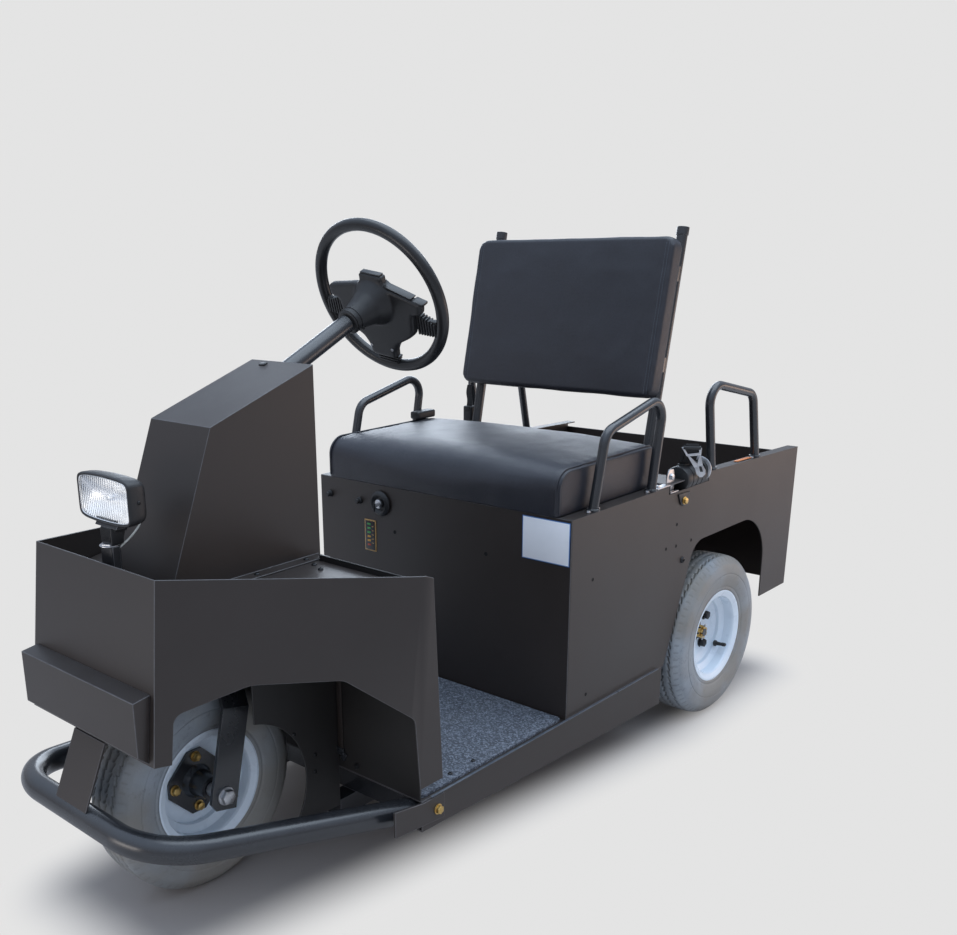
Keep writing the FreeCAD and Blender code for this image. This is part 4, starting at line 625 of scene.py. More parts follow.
def add_plate(shape, outline, depth, round_by, steps=2, finish=0):
    """A flat outline of places pushed out by the vector depth, with its edges rounded."""
    before = set(shape.faces)
    face = shape.faces.new([shape.verts.new(place) for place in outline])
    grown = bmesh.ops.extrude_face_region(shape, geom=[face])["geom"]
    moved = [v for v in grown if isinstance(v, bmesh.types.BMVert)]
    bmesh.ops.translate(shape, vec=Vector(depth) * MM, verts=moved)
    round_edges(shape, list({e for f in shape.faces if f not in before for e in f.edges}), round_by, steps)
    paint_new(shape, before, finish)


def ring_of(radius, turn):
    """A vector square to the axles, at an angle from +Y towards +Z."""
    return Vector((0, math.cos(turn), math.sin(turn))) * radius * MM


# %% [markdown]
# A bolt is a washer and a six-sided head with its rim rounded.  A button screw is a low dome with a
# socket.  They are made standing on +Z and laid on their face.

# %% Bolts, nuts and screws
def add_bolt(shape, place, axis, across, tall, washer=1.5, spin=0.0, finish=0):
    """A hexagon bolt head on a washer, standing on a surface at place."""
    stand = Matrix.Translation(place) @ turned_to(axis) @ Matrix.Rotation(spin, 4, "Z")
    before = set(shape.faces)
    radius = across / math.sqrt(3) * MM
    for sides, wide, low, high, rounding in ((24, radius * 1.22, 0, washer, 0.3),
                                             (6, radius, washer, tall, 0.9)):
        if high <= low:
            continue
        made = bmesh.ops.create_cone(shape, cap_ends=True, segments=sides, radius1=wide, radius2=wide,
                                     depth=(high - low) * MM)["verts"]
        bmesh.ops.translate(shape, vec=(0, 0, (high + low) / 2 * MM), verts=made)
        rims = {e for v in made for e in v.link_edges if min(w.co.z for w in e.verts) > high * MM - 1e-6}
        round_and_stand(shape, made, rims, rounding, 2, stand)
    paint_new(shape, before, finish)


def add_screw(shape, place, axis, wide, tall=2.6, finish=0):
    """A button head screw with a socket, standing on a surface."""
    dome = ((1, 0), (0.96, 0.35), (0.8, 0.75), (0.5, 1), (0.42, 1), (0.38, 0.35), (0, 0.3))
    add_turned(shape, [(wide / 2 * r, tall * h) for r, h in dome], place, axis, steps=20, finish=finish)


def add_hole(shape, place, axis, wide):
    """A dark disc with a turned-in rim, which reads as a small drilled hole; its near-black is painted
    shade.
    """
    rim = ((1, 0), (1, 0.2), (0.9, 0.35), (0.82, 0.15), (0, 0.1))
    add_turned(shape, [(wide / 2 * r, h) for r, h in rim], place, axis, steps=20)


# %% [markdown]
# ## Bolts and holes of the body
# These are the fasteners that hold the sheet metal together, and the drilled holes left for options.
# All heads of one metal are one mesh.

# %% Body bolts
LEFT, RIGHT, FRONT, BACK, UP = (1, 0, 0), (-1, 0, 0), (0, -1, 0), (0, 1, 0), (0, 0, 1)
SIDES = ((1, LEFT), (-1, RIGHT))
SIDE_WALL = 366.1
shape = bmesh.new()
for side, axis in SIDES:
    add_bolt(shape, at(side * 371.2, -422, 164), axis, across=15, tall=8)
    add_bolt(shape, at(side * (SIDE_WALL + 3.4), 452, 587), axis, across=13, tall=7)
for x in (-128, 128):
    for z in (560, 300):
        add_bolt(shape, at(x, -461.2, z), FRONT, across=11, tall=5)
add_piece("yellow_bolts", shape, ["yellow zinc"])

# %% Black screws of the body
shape = bmesh.new()
for side, axis in SIDES:
    add_screw(shape, at(side * SIDE_WALL, 465, 441), axis, wide=16, tall=5)
    for y, z in ((-575, 300), (-524, 239), (-526, 204)):
        add_screw(shape, at(side * 150.2, y, z), axis, wide=9)
for x in (-72, 72):
    for z in (660, 800, 930):
        add_screw(shape, at(x, -427, z), BACK, wide=9)
for x in (-100, 100):
    for y in (-720, -600, -480):
        add_screw(shape, at(x, y, 610.1), UP, wide=11, tall=3.4)
for x, y in ((160, -500), (-160, -500), (196, -560), (-196, -560), (130, -488), (60, -812), (-60, -812)):
    add_screw(shape, at(x, y, 607.1), UP, wide=11, tall=3.4)
add_piece("black_screws", shape, ["blackened bolt"])

# %% Drilled holes
# The near-black of the holes is painted shade standing for their dark insides.
make_finish("painted hole shade", 0.002, 0.004, rough=(0.8, 0.9))
shape = bmesh.new()
for side, axis in SIDES:
    for y, z in ((84, 486), (73, 229), (430, 534), (503, 481), (432, 482), (386, 485)):
        add_hole(shape, at(side * SIDE_WALL, y, z), axis, wide=8)
for x, z in ((-120, 524), (149, 521)):
    add_hole(shape, at(x, -0.1, z), FRONT, wide=9)
add_piece("drilled_holes", shape, ["painted hole shade"])

# %% [markdown]
# ## Tyres
# An industrial tyre is a ring spun from its section: bead, bulging wall, shoulder, nearly flat crown.
# The tread is moulded into it: four grooves whose sides are cut like saw teeth, and short notches on
# the shoulders.  After the spin, every point of the crown is pushed inwards by the depth of the groove
# there, and the same number is kept as the `groove` mark that the rubber reads.

# %% A smooth line through a few points
def smooth_line(points, steps):
    """Points along a curve that passes through all the given ones."""
    marks = [Vector(p).to_3d() for p in points]
    marks = [2 * marks[0] - marks[1], *marks, 2 * marks[-1] - marks[-2]]
    line = []
    for before, start, end, after in zip(marks, marks[1:], marks[2:], marks[3:]):
        leave, reach = start + (end - before) / 6, end - (after - start) / 6
        line += interpolate_bezier(start, leave, reach, end, steps + 1)[:-1]
    return line + [marks[-2]]


# %% Tread pattern
TEETH = 68
GROOVES = ((-28.5, 1), (-9.5, -1), (9.5, 1), (28.5, -1))
SAW, GROOVE_HALF, GROOVE_DEEP = 2.6, 2.1, 4.0


def held_to_one(value):
    """A number kept between 0 and 1."""
    return min(1.0, max(0.0, value))


def groove_depth(turn, across):
    """How deep the tread is cut, from 0 to 1, at an angle round the tyre and a place across it."""
    tooth = turn / math.tau * TEETH % 1
    lines = [middle + way * SAW * (2 * tooth - 1) for middle, way in GROOVES]
    depth = max(held_to_one(1.35 - abs(across - line) / GROOVE_HALF) for line in lines)
    notch = 0.5 - abs(tooth - 0.5)
    return max(depth, held_to_one((notch - 0.34) * 9) * 0.35) if 40 < abs(across) < 48 else depth


# %% Spinning the tyres
WALL = [(103.5, 40.8), (112, 46.2), (117.2, 49), (121.5, 51.5), (126, 51.2), (130, 53.8), (145, 57.8),
        (157, 58.7), (159, 57.6), (162.5, 58.3), (178, 56.2), (185, 53.2), (188.5, 50.5), (195.5, 45)]
CROWN = [(195.5, 45), (200.5, 39), (202.8, 31), (203.8, 18), (204, 0)]
TREAD_FROM = 192


def make_tyre(name, node, body):
    """A treaded tyre round the wheel centre of a packed tyre node."""
    low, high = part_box(node)
    hub = (Vector(low) + Vector(high)) / 2
    half = smooth_line([(r, x, 0) for r, x in WALL], 3)[:-1] + smooth_line([(r, x, 0) for r, x in CROWN], 6)
    section = half + [Vector((p.x, -p.y, 0)) for p in reversed(half[:-1])]
    shape = bmesh.new()
    cut = shape.verts.layers.float.new("groove")
    points = [shape.verts.new(hub + Vector((p.y, 0, p.x)) * MM) for p in section]
    lines = [shape.edges.new(pair) for pair in zip(points, points[1:] + points[:1])]
    bmesh.ops.spin(shape, geom=points + lines, cent=hub, axis=LEFT, angle=math.tau, steps=TEETH * 8,
                   use_merge=True, use_duplicate=False)
    for vert in shape.verts:
        away = vert.co - hub
        out = Vector((0, away.y, away.z))
        if out.length > TREAD_FROM * MM:
            depth = groove_depth(math.atan2(away.y, away.z), away.x / MM)
            vert.co -= out.normalized() * depth * GROOVE_DEEP * MM
            vert[cut] = depth
    add_piece(name, shape, ["grey tyre rubber"], body, (node,), sharp=50)


make_tyre("tread_tyre_front", "front_tyre", "front_wheel")
make_tyre("tread_tyre_left", "rear_tyre_left", "rear_wheel_left")
make_tyre("tread_tyre_right", "rear_tyre_right", "rear_wheel_right")

# %% [markdown]
# ## Wheel hardware
# The front rim is bolted to a four-cornered hub flange with yellow bolts, and the axle bolt through the
# fork is bright.  The rear discs are held by dark lug nuts, and a slotted nut with a split pin closes
# each half shaft.  A rubber valve stands in every rim.

# %% Front wheel hardware
FRONT_HUB = at(0, -700, 204)
REAR_LEFT, REAR_RIGHT = at(330, 643, 204), at(-330, 643, 204)
shape = bmesh.new()
for turn in range(4):
    place = FRONT_HUB + ring_of(51.5, math.radians(90 * turn))
    add_bolt(shape, place + Vector((7.3, 0, 0)) * MM, LEFT, across=15, tall=9, spin=turn * 0.3)
    add_bolt(shape, place - Vector((3, 0, 0)) * MM, RIGHT, across=15, tall=8, spin=turn * 0.7)
add_piece("front_wheel_bolts", shape, ["yellow zinc"], "front_wheel")

shape = bmesh.new()
for side, axis in SIDES:
    add_bolt(shape, at(side * 94.2, -700, 204), axis, across=25.5, tall=12.5, washer=2.5, spin=0.35)
add_turned(shape, [(8.2, -105.5), (8.2, 104.5), (7.4, 105.8), (0, 105.8)], FRONT_HUB, LEFT, 24)
add_piece("axle_bolt", shape, ["zinc plate"], "fork")

# %% Rear wheel hardware
def add_slotted_nut(shape, place, axis, finish):
    """A castle nut: a hexagon with six blocks standing on its face."""
    add_bolt(shape, place, axis, across=31, tall=13.6, washer=0.0, finish=finish)
    for step in range(6):
        angle = math.radians(60 * step + 30)
        block = turned_to(axis) @ (Vector((math.cos(angle) * 11.8, math.sin(angle) * 11.8, 16)) * MM)
        turn = turned_to(axis) @ Matrix.Rotation(angle, 4, "Z")
        add_block(shape, place + block, (6, 8.5, 6), 0.6, turn=turn, finish=finish)


for word, hub, axis in (("left", REAR_LEFT, LEFT), ("right", REAR_RIGHT, RIGHT)):
    out = Vector(axis) * MM
    shape = bmesh.new()
    for turn in range(4):
        place = hub + ring_of(52, math.radians(90 * turn + 38))
        add_bolt(shape, place - out * 8.2, axis, across=19, tall=13, washer=2)
    add_slotted_nut(shape, hub - out * 2.2, axis, 1)
    pin = [(0, -20), (1.6, -20), (1.6, 16), (3.4, 19), (1.6, 22), (0, 22)]
    add_turned(shape, pin, hub + out * 15, (0, 0.35, 0.94), 12, finish=2)
    add_piece(f"rear_wheel_nuts_{word}", shape, ["blackened bolt", "yellow zinc", "zinc plate"],
              f"rear_wheel_{word}")

# %% Valves
STEM = [(7.8, -2), (7.8, 1), (5.2, 3.5), (4.6, 12), (4, 20), (4.8, 21), (4.8, 29), (3.6, 31), (0, 31)]
around = Vector((0, math.sin(2.2), math.cos(2.2)))
for name, body, hub, side in (("front", "front_wheel", FRONT_HUB, 1),
                              ("left", "rear_wheel_left", REAR_LEFT, 1),
                              ("right", "rear_wheel_right", REAR_RIGHT, -1)):
    shape = bmesh.new()
    root = hub + (around * 83 + Vector((side * 16, 0, 0))) * MM
    add_turned(shape, STEM, root, Vector((side, 0, 0)) - around * 0.25, 20)
    add_piece(f"valve_{name}", shape, ["black rubber"], body)

# %% [markdown]
# ## Steering wheel
# The hub is one soft moulding: two arms and a lower arm that grow out of a tapered boot.  A plate, a
# turned boot and a crest block are put together, then a voxel remesh welds them into one skin and a few
# smoothing passes give the moulded hollows where they meet.

# %% The wheel's own frame
COLUMN_LEAN, WHEEL_TURNED = 24.8, 10.5
wheel_turn = (Matrix.Rotation(math.radians(COLUMN_LEAN - 90), 4, "X")
              @ Matrix.Rotation(math.radians(WHEEL_TURNED), 4, "Z"))
wheel_frame = Matrix.Translation(at(0, -159, 1068)) @ wheel_turn
column_axis = wheel_turn.to_3x3() @ Vector((0, 0, 1))


def on_wheel(x, y, z):
    """A place in metres from millimetres in the steering wheel's own plane; z runs towards the driver."""
    return wheel_frame @ (Vector((x, y, z)) * MM)


def remeshed(shape, voxel, passes=0):
    """A bmesh as one even skin, then relaxed by smoothing passes."""
    draft = bpy.data.meshes.new("draft")
    shape.to_mesh(draft)
    shape.free()
    rough = new_object("draft", draft)
    weld = rough.modifiers.new("weld", "REMESH")
    weld.mode = "VOXEL"
    weld.voxel_size = voxel * MM
    if passes:
        relax = rough.modifiers.new("relax", "SMOOTH")
        relax.factor, relax.iterations = 0.6, passes
    skin = bpy.data.meshes.new_from_object(rough.evaluated_get(bpy.context.evaluated_depsgraph_get()))
    bpy.data.objects.remove(rough)
    return skin


def opened(mesh):
    """A mesh taken back into a bmesh."""
    shape = bmesh.new()
    shape.from_mesh(mesh)
    bpy.data.meshes.remove(mesh)
    return shape


print("column rises along", [round(v, 3) for v in column_axis])

# %% Moulded hub
shape = bmesh.new()
arm = [(46, -34), (120, -17), (116, 8), (97, 11), (91, 56), (76, 69), (45, 88), (34, 106), (32, 127)]
outline = arm + [(-x, y) for x, y in reversed(arm)]
add_plate(shape, [on_wheel(x, y, -22.5) for x, y in outline], column_axis * 21, 6, 3)
add_block(shape, on_wheel(0, -46, -12), (58, 26, 19), 3, turn=wheel_turn)
boot = [(0, -104), (18.5, -104), (22.5, -104.5), (24.5, -102), (25, -92), (29, -70), (36, -46), (45, -30),
        (52, -18), (52, 0), (42, 9), (0, 12)]
add_turned(shape, boot, on_wheel(0, 0, 0), column_axis, 48)
add_piece("hub_shell", opened(remeshed(shape, 2.1, passes=9)), ["moulded black"], "steering_wheel",
          ("steering_hub",), sharp=70)

# %% Rim and necks
shape = bmesh.new()
ring = [(155 + 12.4 * math.cos(a), 12.4 * math.sin(a)) for a in (math.tau * i / 20 for i in range(21))]
add_turned(shape, ring, on_wheel(0, 0, 0), column_axis, 112)
moulded = dict(turn=wheel_turn, finish=1)
for way in (1, -1):
    for rib in range(7):
        place = on_wheel(way * (99 + rib * 6.6), 34.5 + rib, -4)
        add_block(shape, place, (4.2, 44 - rib * 2.6, 17), 1.2, **moulded)
    add_block(shape, on_wheel(way * 120, 37, -4), (46, 30, 11), 3, **moulded)
for rib in range(3):
    add_block(shape, on_wheel(0, 130.5 + rib * 5.6, -4), (58 - rib * 4, 3.6, 17), 1.2, **moulded)
add_block(shape, on_wheel(0, 138, -4), (44, 20, 11), 3, **moulded)
add_piece("wheel_grip", shape, ["grip black", "moulded black"], "steering_wheel",
          ("steering_wheel",))

# %% Trim and screws of the hub
shape = bmesh.new()
add_plate(shape, [on_wheel(x, y, -2) for x, y in ((30, -38.5), (97, -23.5), (97, -26), (31, -41.5))],
          column_axis * -18, 0.6)
add_block(shape, on_wheel(110, -16.5, -9), (26, 6, 20), 1.5, turn=wheel_turn @ Matrix.Rotation(0.2, 4, "Z"))
add_block(shape, on_wheel(0, -60.5, -12), (50, 3.5, 13), 1.2, turn=wheel_turn)
for x, y in ((34, 18), (-34, 18), (-27, 104), (27, 104)):
    add_screw(shape, on_wheel(x, y, -22.6), -column_axis, wide=7, tall=1.6, finish=1)
for low, high, wide in ((-101.5, -98.5, 26.0), (-90, -88, 26.6)):
    band = [(wide - 2, low), (wide, low + 0.6), (wide, high - 0.6), (wide - 2, high)]
    add_turned(shape, band, on_wheel(0, 0, 0), column_axis, 40)
add_block(shape, on_wheel(21, 15.5, -84), (4, 11, 5), 1, turn=wheel_turn, finish=2)
add_piece("hub_trim", shape, ["grip black", "bare steel", "black rubber"], "steering_wheel")

# %% [markdown]
# ## Headlamp
# The work lamp is a deep moulded shell whose outline is a rectangle with bulging sides, which is a
# superellipse.  The shell is a row of such rings, bridged.  Inside lie a bright bowl and a bulb, and in
# front a curved lens with upright flutes on its back.

# %% Shell rings
LAMP_MIDDLE = at(0, -838, 778.5)
SHELL_W, SHELL_H, BULGE, LENS_INSET = 154.5, 85.0, 9.0, 5.0


def outline_reach(u, v):
    """How far out the bulging outline lies in a direction, when its half sizes are 1."""
    return 1 / max((abs(u) ** BULGE + abs(v) ** BULGE) ** (1 / BULGE), 1e-6)


def arch(u):
    """How much of its height the lamp keeps at a place across it, from -1 to 1."""
    return 1.0 - 0.10 * u * u


def rings_bridged(shape, rings):
    """Joins a row of rings into a tube."""
    for first, second in zip(rings, rings[1:]):
        bmesh.ops.bridge_loops(shape, edges=first + second)


def lamp_shell(shape, stations, finish):
    """Bridged rings from stations: how far in from the outline, and how far behind the lens plane."""
    before = set(shape.faces)
    rings = []
    for inset, back in stations:
        made = bmesh.ops.create_circle(shape, cap_ends=False, segments=96, radius=1.0)["verts"]
        for vert in made:
            u, v = vert.co.xy * outline_reach(vert.co.x, vert.co.y)
            wide, tall = SHELL_W / 2 - inset, SHELL_H / 2 - inset
            vert.co = LAMP_MIDDLE + Vector((u * wide, back, v * arch(u) * tall)) * MM
        rings.append(list({e for v in made for e in v.link_edges}))
    rings_bridged(shape, rings)
    paint_new(shape, before, finish)
    return rings


shape = bmesh.new()
rings = lamp_shell(shape, [(17, 37.2), (10.5, 35.2), (6.4, 30.5), (5, 20), (4.6, 9), (4.4, 1), (4, -0.6),
                           (3, -1.4), (1.8, -1.3), (0.7, -0.2), (0.1, 2.2), (0, 6), (0.6, 17), (1.8, 25),
                           (4, 32), (8.5, 37.2), (15, 39.5)], 0)
bmesh.ops.edgeloop_fill(shape, edges=rings[-1])
bmesh.ops.edgeloop_fill(shape, edges=rings[0])
lamp_shell(shape, [(4.3, 1.4), (4.7, 0.2), (5.5, -0.4), (6.4, 0.4), (4.3, 1.4)], 1)
for side, axis in SIDES:
    add_screw(shape, at(side * 76.6, -819, 780), axis, wide=7, tall=1.8, finish=2)
add_piece("lamp_shell", shape, ["moulded black", "reflector coat", "blackened bolt"],
          stands_for=("lamp_housing",))

# %% [markdown]
# Bowl and lens start as the same fine grid with the outline of the lens, laid out in millimetres, and
# each is pushed back by its own depth.

# %% Bowl and bulb
LENS_W, LENS_H = SHELL_W / 2 - LENS_INSET, SHELL_H / 2 - LENS_INSET


def lens_grid(across, tall):
    """A fine upright grid with the outline of the lens."""
    shape = bmesh.new()
    bmesh.ops.create_grid(shape, x_segments=across, y_segments=tall, size=1.0)
    for vert in shape.verts:
        u, v = vert.co.xy * (max(abs(vert.co.x), abs(vert.co.y)) * outline_reach(vert.co.x, vert.co.y))
        vert.co = Vector((u * LENS_W, 0, v * arch(u) * LENS_H))
    return shape


def bowed(shape, depth_at):
    """Pushes a grid back by a depth that depends on where it is, and stands it in the lamp."""
    for vert in shape.verts:
        u = vert.co.x / LENS_W
        vert.co.y += depth_at(vert, u, vert.co.z / LENS_H / arch(u))
    stand = Matrix.Translation(LAMP_MIDDLE) @ Matrix.Scale(MM, 4)
    bmesh.ops.transform(shape, matrix=stand, verts=shape.verts)


shape = lens_grid(56, 32)
bowed(shape, lambda vert, u, v: 6.2 + 22.3 * max(0.0, 1 - abs(u) ** 4) * max(0.0, 1 - abs(v) ** 2.2))
bmesh.ops.solidify(shape, geom=list(shape.faces), thickness=-0.8 * MM)
bulb = [(0, -3), (5.2, -3), (5.8, 4), (4.8, 11), (2.4, 14.5), (0, 15.2)]
add_turned(shape, bulb, LAMP_MIDDLE + Vector((0, 0.0245, 0)), FRONT, 24, finish=1)
add_piece("lamp_reflector", shape, ["lamp bowl with painted glow", "lamp glass"])

# %% Fluted lens
shape = lens_grid(192, 24)
grown = bmesh.ops.extrude_face_region(shape, geom=list(shape.faces))["geom"]
back = {v for v in grown if isinstance(v, bmesh.types.BMVert)}
FLUTE_DEEP, FLUTE_WIDE = 0.22, 6.4


def lens_depth(vert, u, v):
    """The curved front of the lens, or its back with upright flutes."""
    flute = FLUTE_DEEP * math.cos(vert.co.x / FLUTE_WIDE * math.tau)
    return (5.6 + flute if vert in back else 2.0) - 3.4 * (1 - u * u) * (1 - 0.6 * v * v)


bowed(shape, lens_depth)
add_piece("lamp_glass", shape, ["lamp glass"], stands_for=("lamp_lens",), sharp=60)

# %% Lamp knuckle
shape = bmesh.new()
add_blocks(shape, [((0, -820, 729.5), (36, 26, 15), 2.5), ((0, -827, 716), (32, 25, 31), 2.5)], steps=3)
add_blocks(shape, [((-12.6 + rib * 3.6, -839.8, 717.5), (1.6, 2.6, 24), 0.5) for rib in range(8)])
add_bolt(shape, at(0, -834.5, 698.6), UP, across=24, tall=4.4, finish=1)
add_blocks(shape, [((0, -832.6, 674), (34, 20, 50), 3)], steps=3, finish=2)
add_piece("lamp_knuckle", shape, ["moulded black", "zinc plate", "post grey"])

# %% [markdown]
# The lamp's lead leaves the housing in black sleeving and turns white below, so its finish changes
# colour with height.

# %% Lamp lead
def add_cord(shape, line, radius, sides=8, finish=0):
    """A closed-ended tube along a line of places."""
    before = set(shape.faces)
    rings = []
    for number, place in enumerate(line):
        ahead = (line[min(number + 1, len(line) - 1)] - line[max(number - 1, 0)]).normalized()
        made = bmesh.ops.create_circle(shape, cap_ends=False, segments=sides, radius=radius * MM)["verts"]
        bmesh.ops.transform(shape, matrix=Matrix.Translation(place) @ turned_to(ahead), verts=made)
        rings.append(list({e for v in made for e in v.link_edges}))
    rings_bridged(shape, rings)
    for end in (rings[0], rings[-1]):
        bmesh.ops.edgeloop_fill(shape, edges=end)
    paint_new(shape, before, finish)


tree = new_material("sleeved lead")
sleeve = remap(tree, along(tree, object_place(tree), "Z"), 0.736, 0.738)
white = blend(tree, effect(tree, cloudy, 60.0), (0.50, 0.49, 0.44), (0.66, 0.65, 0.60))
feed_shader(tree, Base_Color=blend(tree, sleeve, white, 0.012), Roughness=0.45)
shape = bmesh.new()
lead = [at(12, y, z) for y, z in ((-800, 752), (-786, 749), (-777, 741), (-777, 730), (-786, 718),
                                  (-803, 705), (-824, 692), (-826.5, 676))]
add_cord(shape, smooth_line(lead, 5), 1.9, sides=10)
add_piece("lamp_lead_sleeved", shape, ["sleeved lead"], stands_for=("lamp_lead",),
          sharp=60)

# %% [markdown]
# ## Seat box front
# Two small knobs, a ringed key switch with its key, the charge gauge and a blank label card.

# %% Knobs, key and gauge
shape = bmesh.new()
knob = [(8.5, 0), (8.5, 4), (6.5, 6), (6.5, 11), (5, 13.5), (0, 14)]
ring = [(30, 2.6), (30, 5.5), (27.5, 8.5), (22.5, 10.5), (18.5, 8.5), (15, 4), (0, 4)]
barrel = [(10.5, 4), (10.5, 8.5), (9, 9.5), (0, 9.5)]
for place, profile, steps, finish in (((-332, -0.1, 587), knob, 24, 0), ((-232, -0.1, 584), knob, 24, 0),
                                      ((-162, 0, 587), ring, 40, 0), ((-162, -3, 587), barrel, 28, 1)):
    add_turned(shape, profile, at(*place), FRONT, steps, finish)
add_blocks(shape, [((-162, -17.5, 586), (2.2, 14, 9), 0.6)], finish=1)
add_blocks(shape, [((-162, -24.5, 583), (2.6, 5, 24), 1)], finish=2)
add_piece("key_and_knobs", shape, ["moulded black", "zinc plate", "moulded black"],
          stands_for=("key_switch",))

shape = bmesh.new()
add_blocks(shape, [((-198.5, -0.8, 503.5), (37, 1.8, 77), 0.7)])
add_blocks(shape, [((-198.5, -1.3, 503.5), (31, 1.8, 71), 0.5)], finish=1)
for number, finish in enumerate((2, 2, 2, 3, 3, 4)):
    add_blocks(shape, [((-202, -2, 531 - number * 10.2), (10.5, 1.6, 4.6), 0.5)], finish=finish)
add_blocks(shape, [((-190, -2, 526 - number * 10.2), (6, 1.2, 1.6), 0.3) for number in range(5)])
add_piece("charge_gauge", shape, ["gauge gold", "gauge face", "gauge green", "gauge amber", "gauge red"])

# %% Blank label card
shape = bmesh.new()
add_blocks(shape, [((304, -0.45, 578), (118, 1, 92), 0.4)], finish=1)
add_blocks(shape, [((304, -0.65, 578), (114.5, 1, 88.5), 0.4)])
add_piece("blank_label", shape, ["label card", "label edge"])

# %% [markdown]
# ## Upholstery
# A cushion is foam in a sewn cover.  The cover is tight, so the panels crown between their seams, the
# seams stay where they were cut, and the vinyl puckers beside them.  Each pad starts a few millimetres
# small as a rounded block, is remeshed evenly, and is blown up as cloth with its seams and its base
# held.  How far a point may move is capped, and then the seams are pressed in.  Here, all is in metres.

# %% Starting blocks
def block_of(wide, deep, tall):
    """A block standing on the plane z = 0, its front face at y = 0."""
    shape = bmesh.new()
    bmesh.ops.create_cube(shape, size=1.0)
    bmesh.ops.scale(shape, vec=(wide, deep, tall), verts=shape.verts)
    bmesh.ops.translate(shape, vec=(0, deep / 2, tall / 2), verts=shape.verts)
    return shape


def round_off(shape, wanted, radius, steps):
    """Bevels the edges that the test wanted picks from their middle and direction."""
    picked = [e for e in shape.edges
              if wanted((e.verts[0].co + e.verts[1].co) / 2, (e.verts[1].co - e.verts[0].co).normalized())]
    round_edges(shape, picked, radius / MM, steps)


CUSHION_W, CUSHION_D, CUSHION_T, NOSE = 0.670, 0.369, 0.0945, 0.042
cushion_block = block_of(CUSHION_W, CUSHION_D, CUSHION_T)
round_off(cushion_block, lambda m, d: abs(d.x) > 0.9 and m.y < 0.01 and m.z > 0.05, NOSE, 8)
round_off(cushion_block, lambda m, d: abs(m.x) > CUSHION_W / 2 - 0.001 and m.z > 0.01, 0.008, 3)

BACK_W, BACK_D, BACK_T = 0.556, 0.046, 0.362
back_block = block_of(BACK_W, BACK_D, BACK_T)
round_off(back_block, lambda m, d: abs(d.y) > 0.9, 0.024, 6)
round_off(back_block, lambda m, d: m.y < 0.001 or m.y > BACK_D - 0.001, 0.0065, 3)
print("starting blocks:", len(cushion_block.faces), len(back_block.faces))

# %% Where the covers are held
def cushion_edge(y, z):
    """Distance inwards from the side outline of the cushion, whose nose is round."""
    if y < NOSE and z > CUSHION_T - NOSE:
        return NOSE - math.hypot(NOSE - y, z - (CUSHION_T - NOSE))
    return min(y, CUSHION_D - y, CUSHION_T - z)


def cushion_held(p):
    """How firmly a point of the cushion is held: base and piped seams."""
    seam = abs(p.x) > CUSHION_W / 2 - 0.012 and cushion_edge(p.y, p.z) < 0.009
    return 1.0 if p.z < 0.004 or seam else 0.0


def back_held(p):
    """The backrest is held at its board behind and round the front edge of its boxing."""
    edge = min(BACK_W / 2 - abs(p.x), p.z, BACK_T - p.z)
    return 1.0 if p.y > BACK_D - 0.007 or edge < 0.010 and p.y < 0.012 else 0.0


# %% Blowing up a cover
def blow_up(skin, held, cap):
    """Runs the cloth for twenty frames and moves the skin's points, none further than cap."""
    cover = new_object("cover", skin)
    pins = cover.vertex_groups.new(name="held")
    start = [v.co.copy() for v in skin.vertices]
    for number, place in enumerate(start):
        pins.add([number], held(place), "REPLACE")
    cloth = cover.modifiers.new("cloth", "CLOTH")
    for name, setting in dict(quality=5, mass=0.3, tension_stiffness=12, compression_stiffness=12,
                              bending_stiffness=0.4, use_pressure=True, uniform_pressure_force=4.0,
                              vertex_group_mass="held").items():
        setattr(cloth.settings, name, setting)
    cloth.settings.effector_weights.gravity = 0
    cloth.collision_settings.use_collision = False
    for number in range(1, 21):
        scene.frame_set(number)
    blown = cover.evaluated_get(bpy.context.evaluated_depsgraph_get()).data
    ends = [v.co.copy() for v in blown.vertices]
    bpy.data.objects.remove(cover)
    scene.frame_set(1)
    for vert, before, after in zip(skin.vertices, start, ends):
        move = after - before
        vert.co = before + move * min(1.0, cap / max(move.length, 1e-9))
    furthest = max((b - a).length for a, b in zip(start, ends))
    print("cover moved by up to", round(furthest / MM, 1), "mm, cap", cap / MM)


# %% [markdown]
# Seams and puckers come after the cloth.  A seam presses the skin in along a line; beside it the vinyl
# gathers in small waves.  A slow noise keeps large panels from being perfectly smooth.

# %% Seams, puckers and slow waves
LARGE_WAVE, SMALL_WAVE = 0.0013, 0.0005
PUCKER_REACH, SEAM_REACH = 0.016, 0.0042
PIPED_FROM_SIDE, BACK_SEAM = 0.013, 0.2625


def settle(skin, seam_distance, deep, pucker):
    """Presses a skin in near its seams, gathers it beside them and adds slow waves."""
    pushes = []
    for vert in skin.vertices:
        near = seam_distance(vert.co)
        wave = noise.noise(vert.co * 11.0) * LARGE_WAVE + noise.noise(vert.co * 30.0) * SMALL_WAVE
        ripple = noise.noise(vert.co * 46) * pucker * math.exp(-near / PUCKER_REACH)
        pushes.append(vert.normal * (wave + ripple - deep * math.exp(-((near / SEAM_REACH) ** 2))))
    for vert, push in zip(skin.vertices, pushes):
        vert.co += push


def cushion_seam(p):
    """Distance to the two piped outlines of the cushion."""
    from_side = abs(p.x) - (CUSHION_W / 2 - PIPED_FROM_SIDE)
    return math.hypot(from_side, max(cushion_edge(p.y, p.z), 0)) if p.z > 0.004 else 1.0


def back_seam(p):
    """Distance to the two sewn lines down the face of the backrest."""
    return math.hypot(abs(p.x) - BACK_SEAM, max(p.y, 0)) if p.y < 0.02 else 1.0


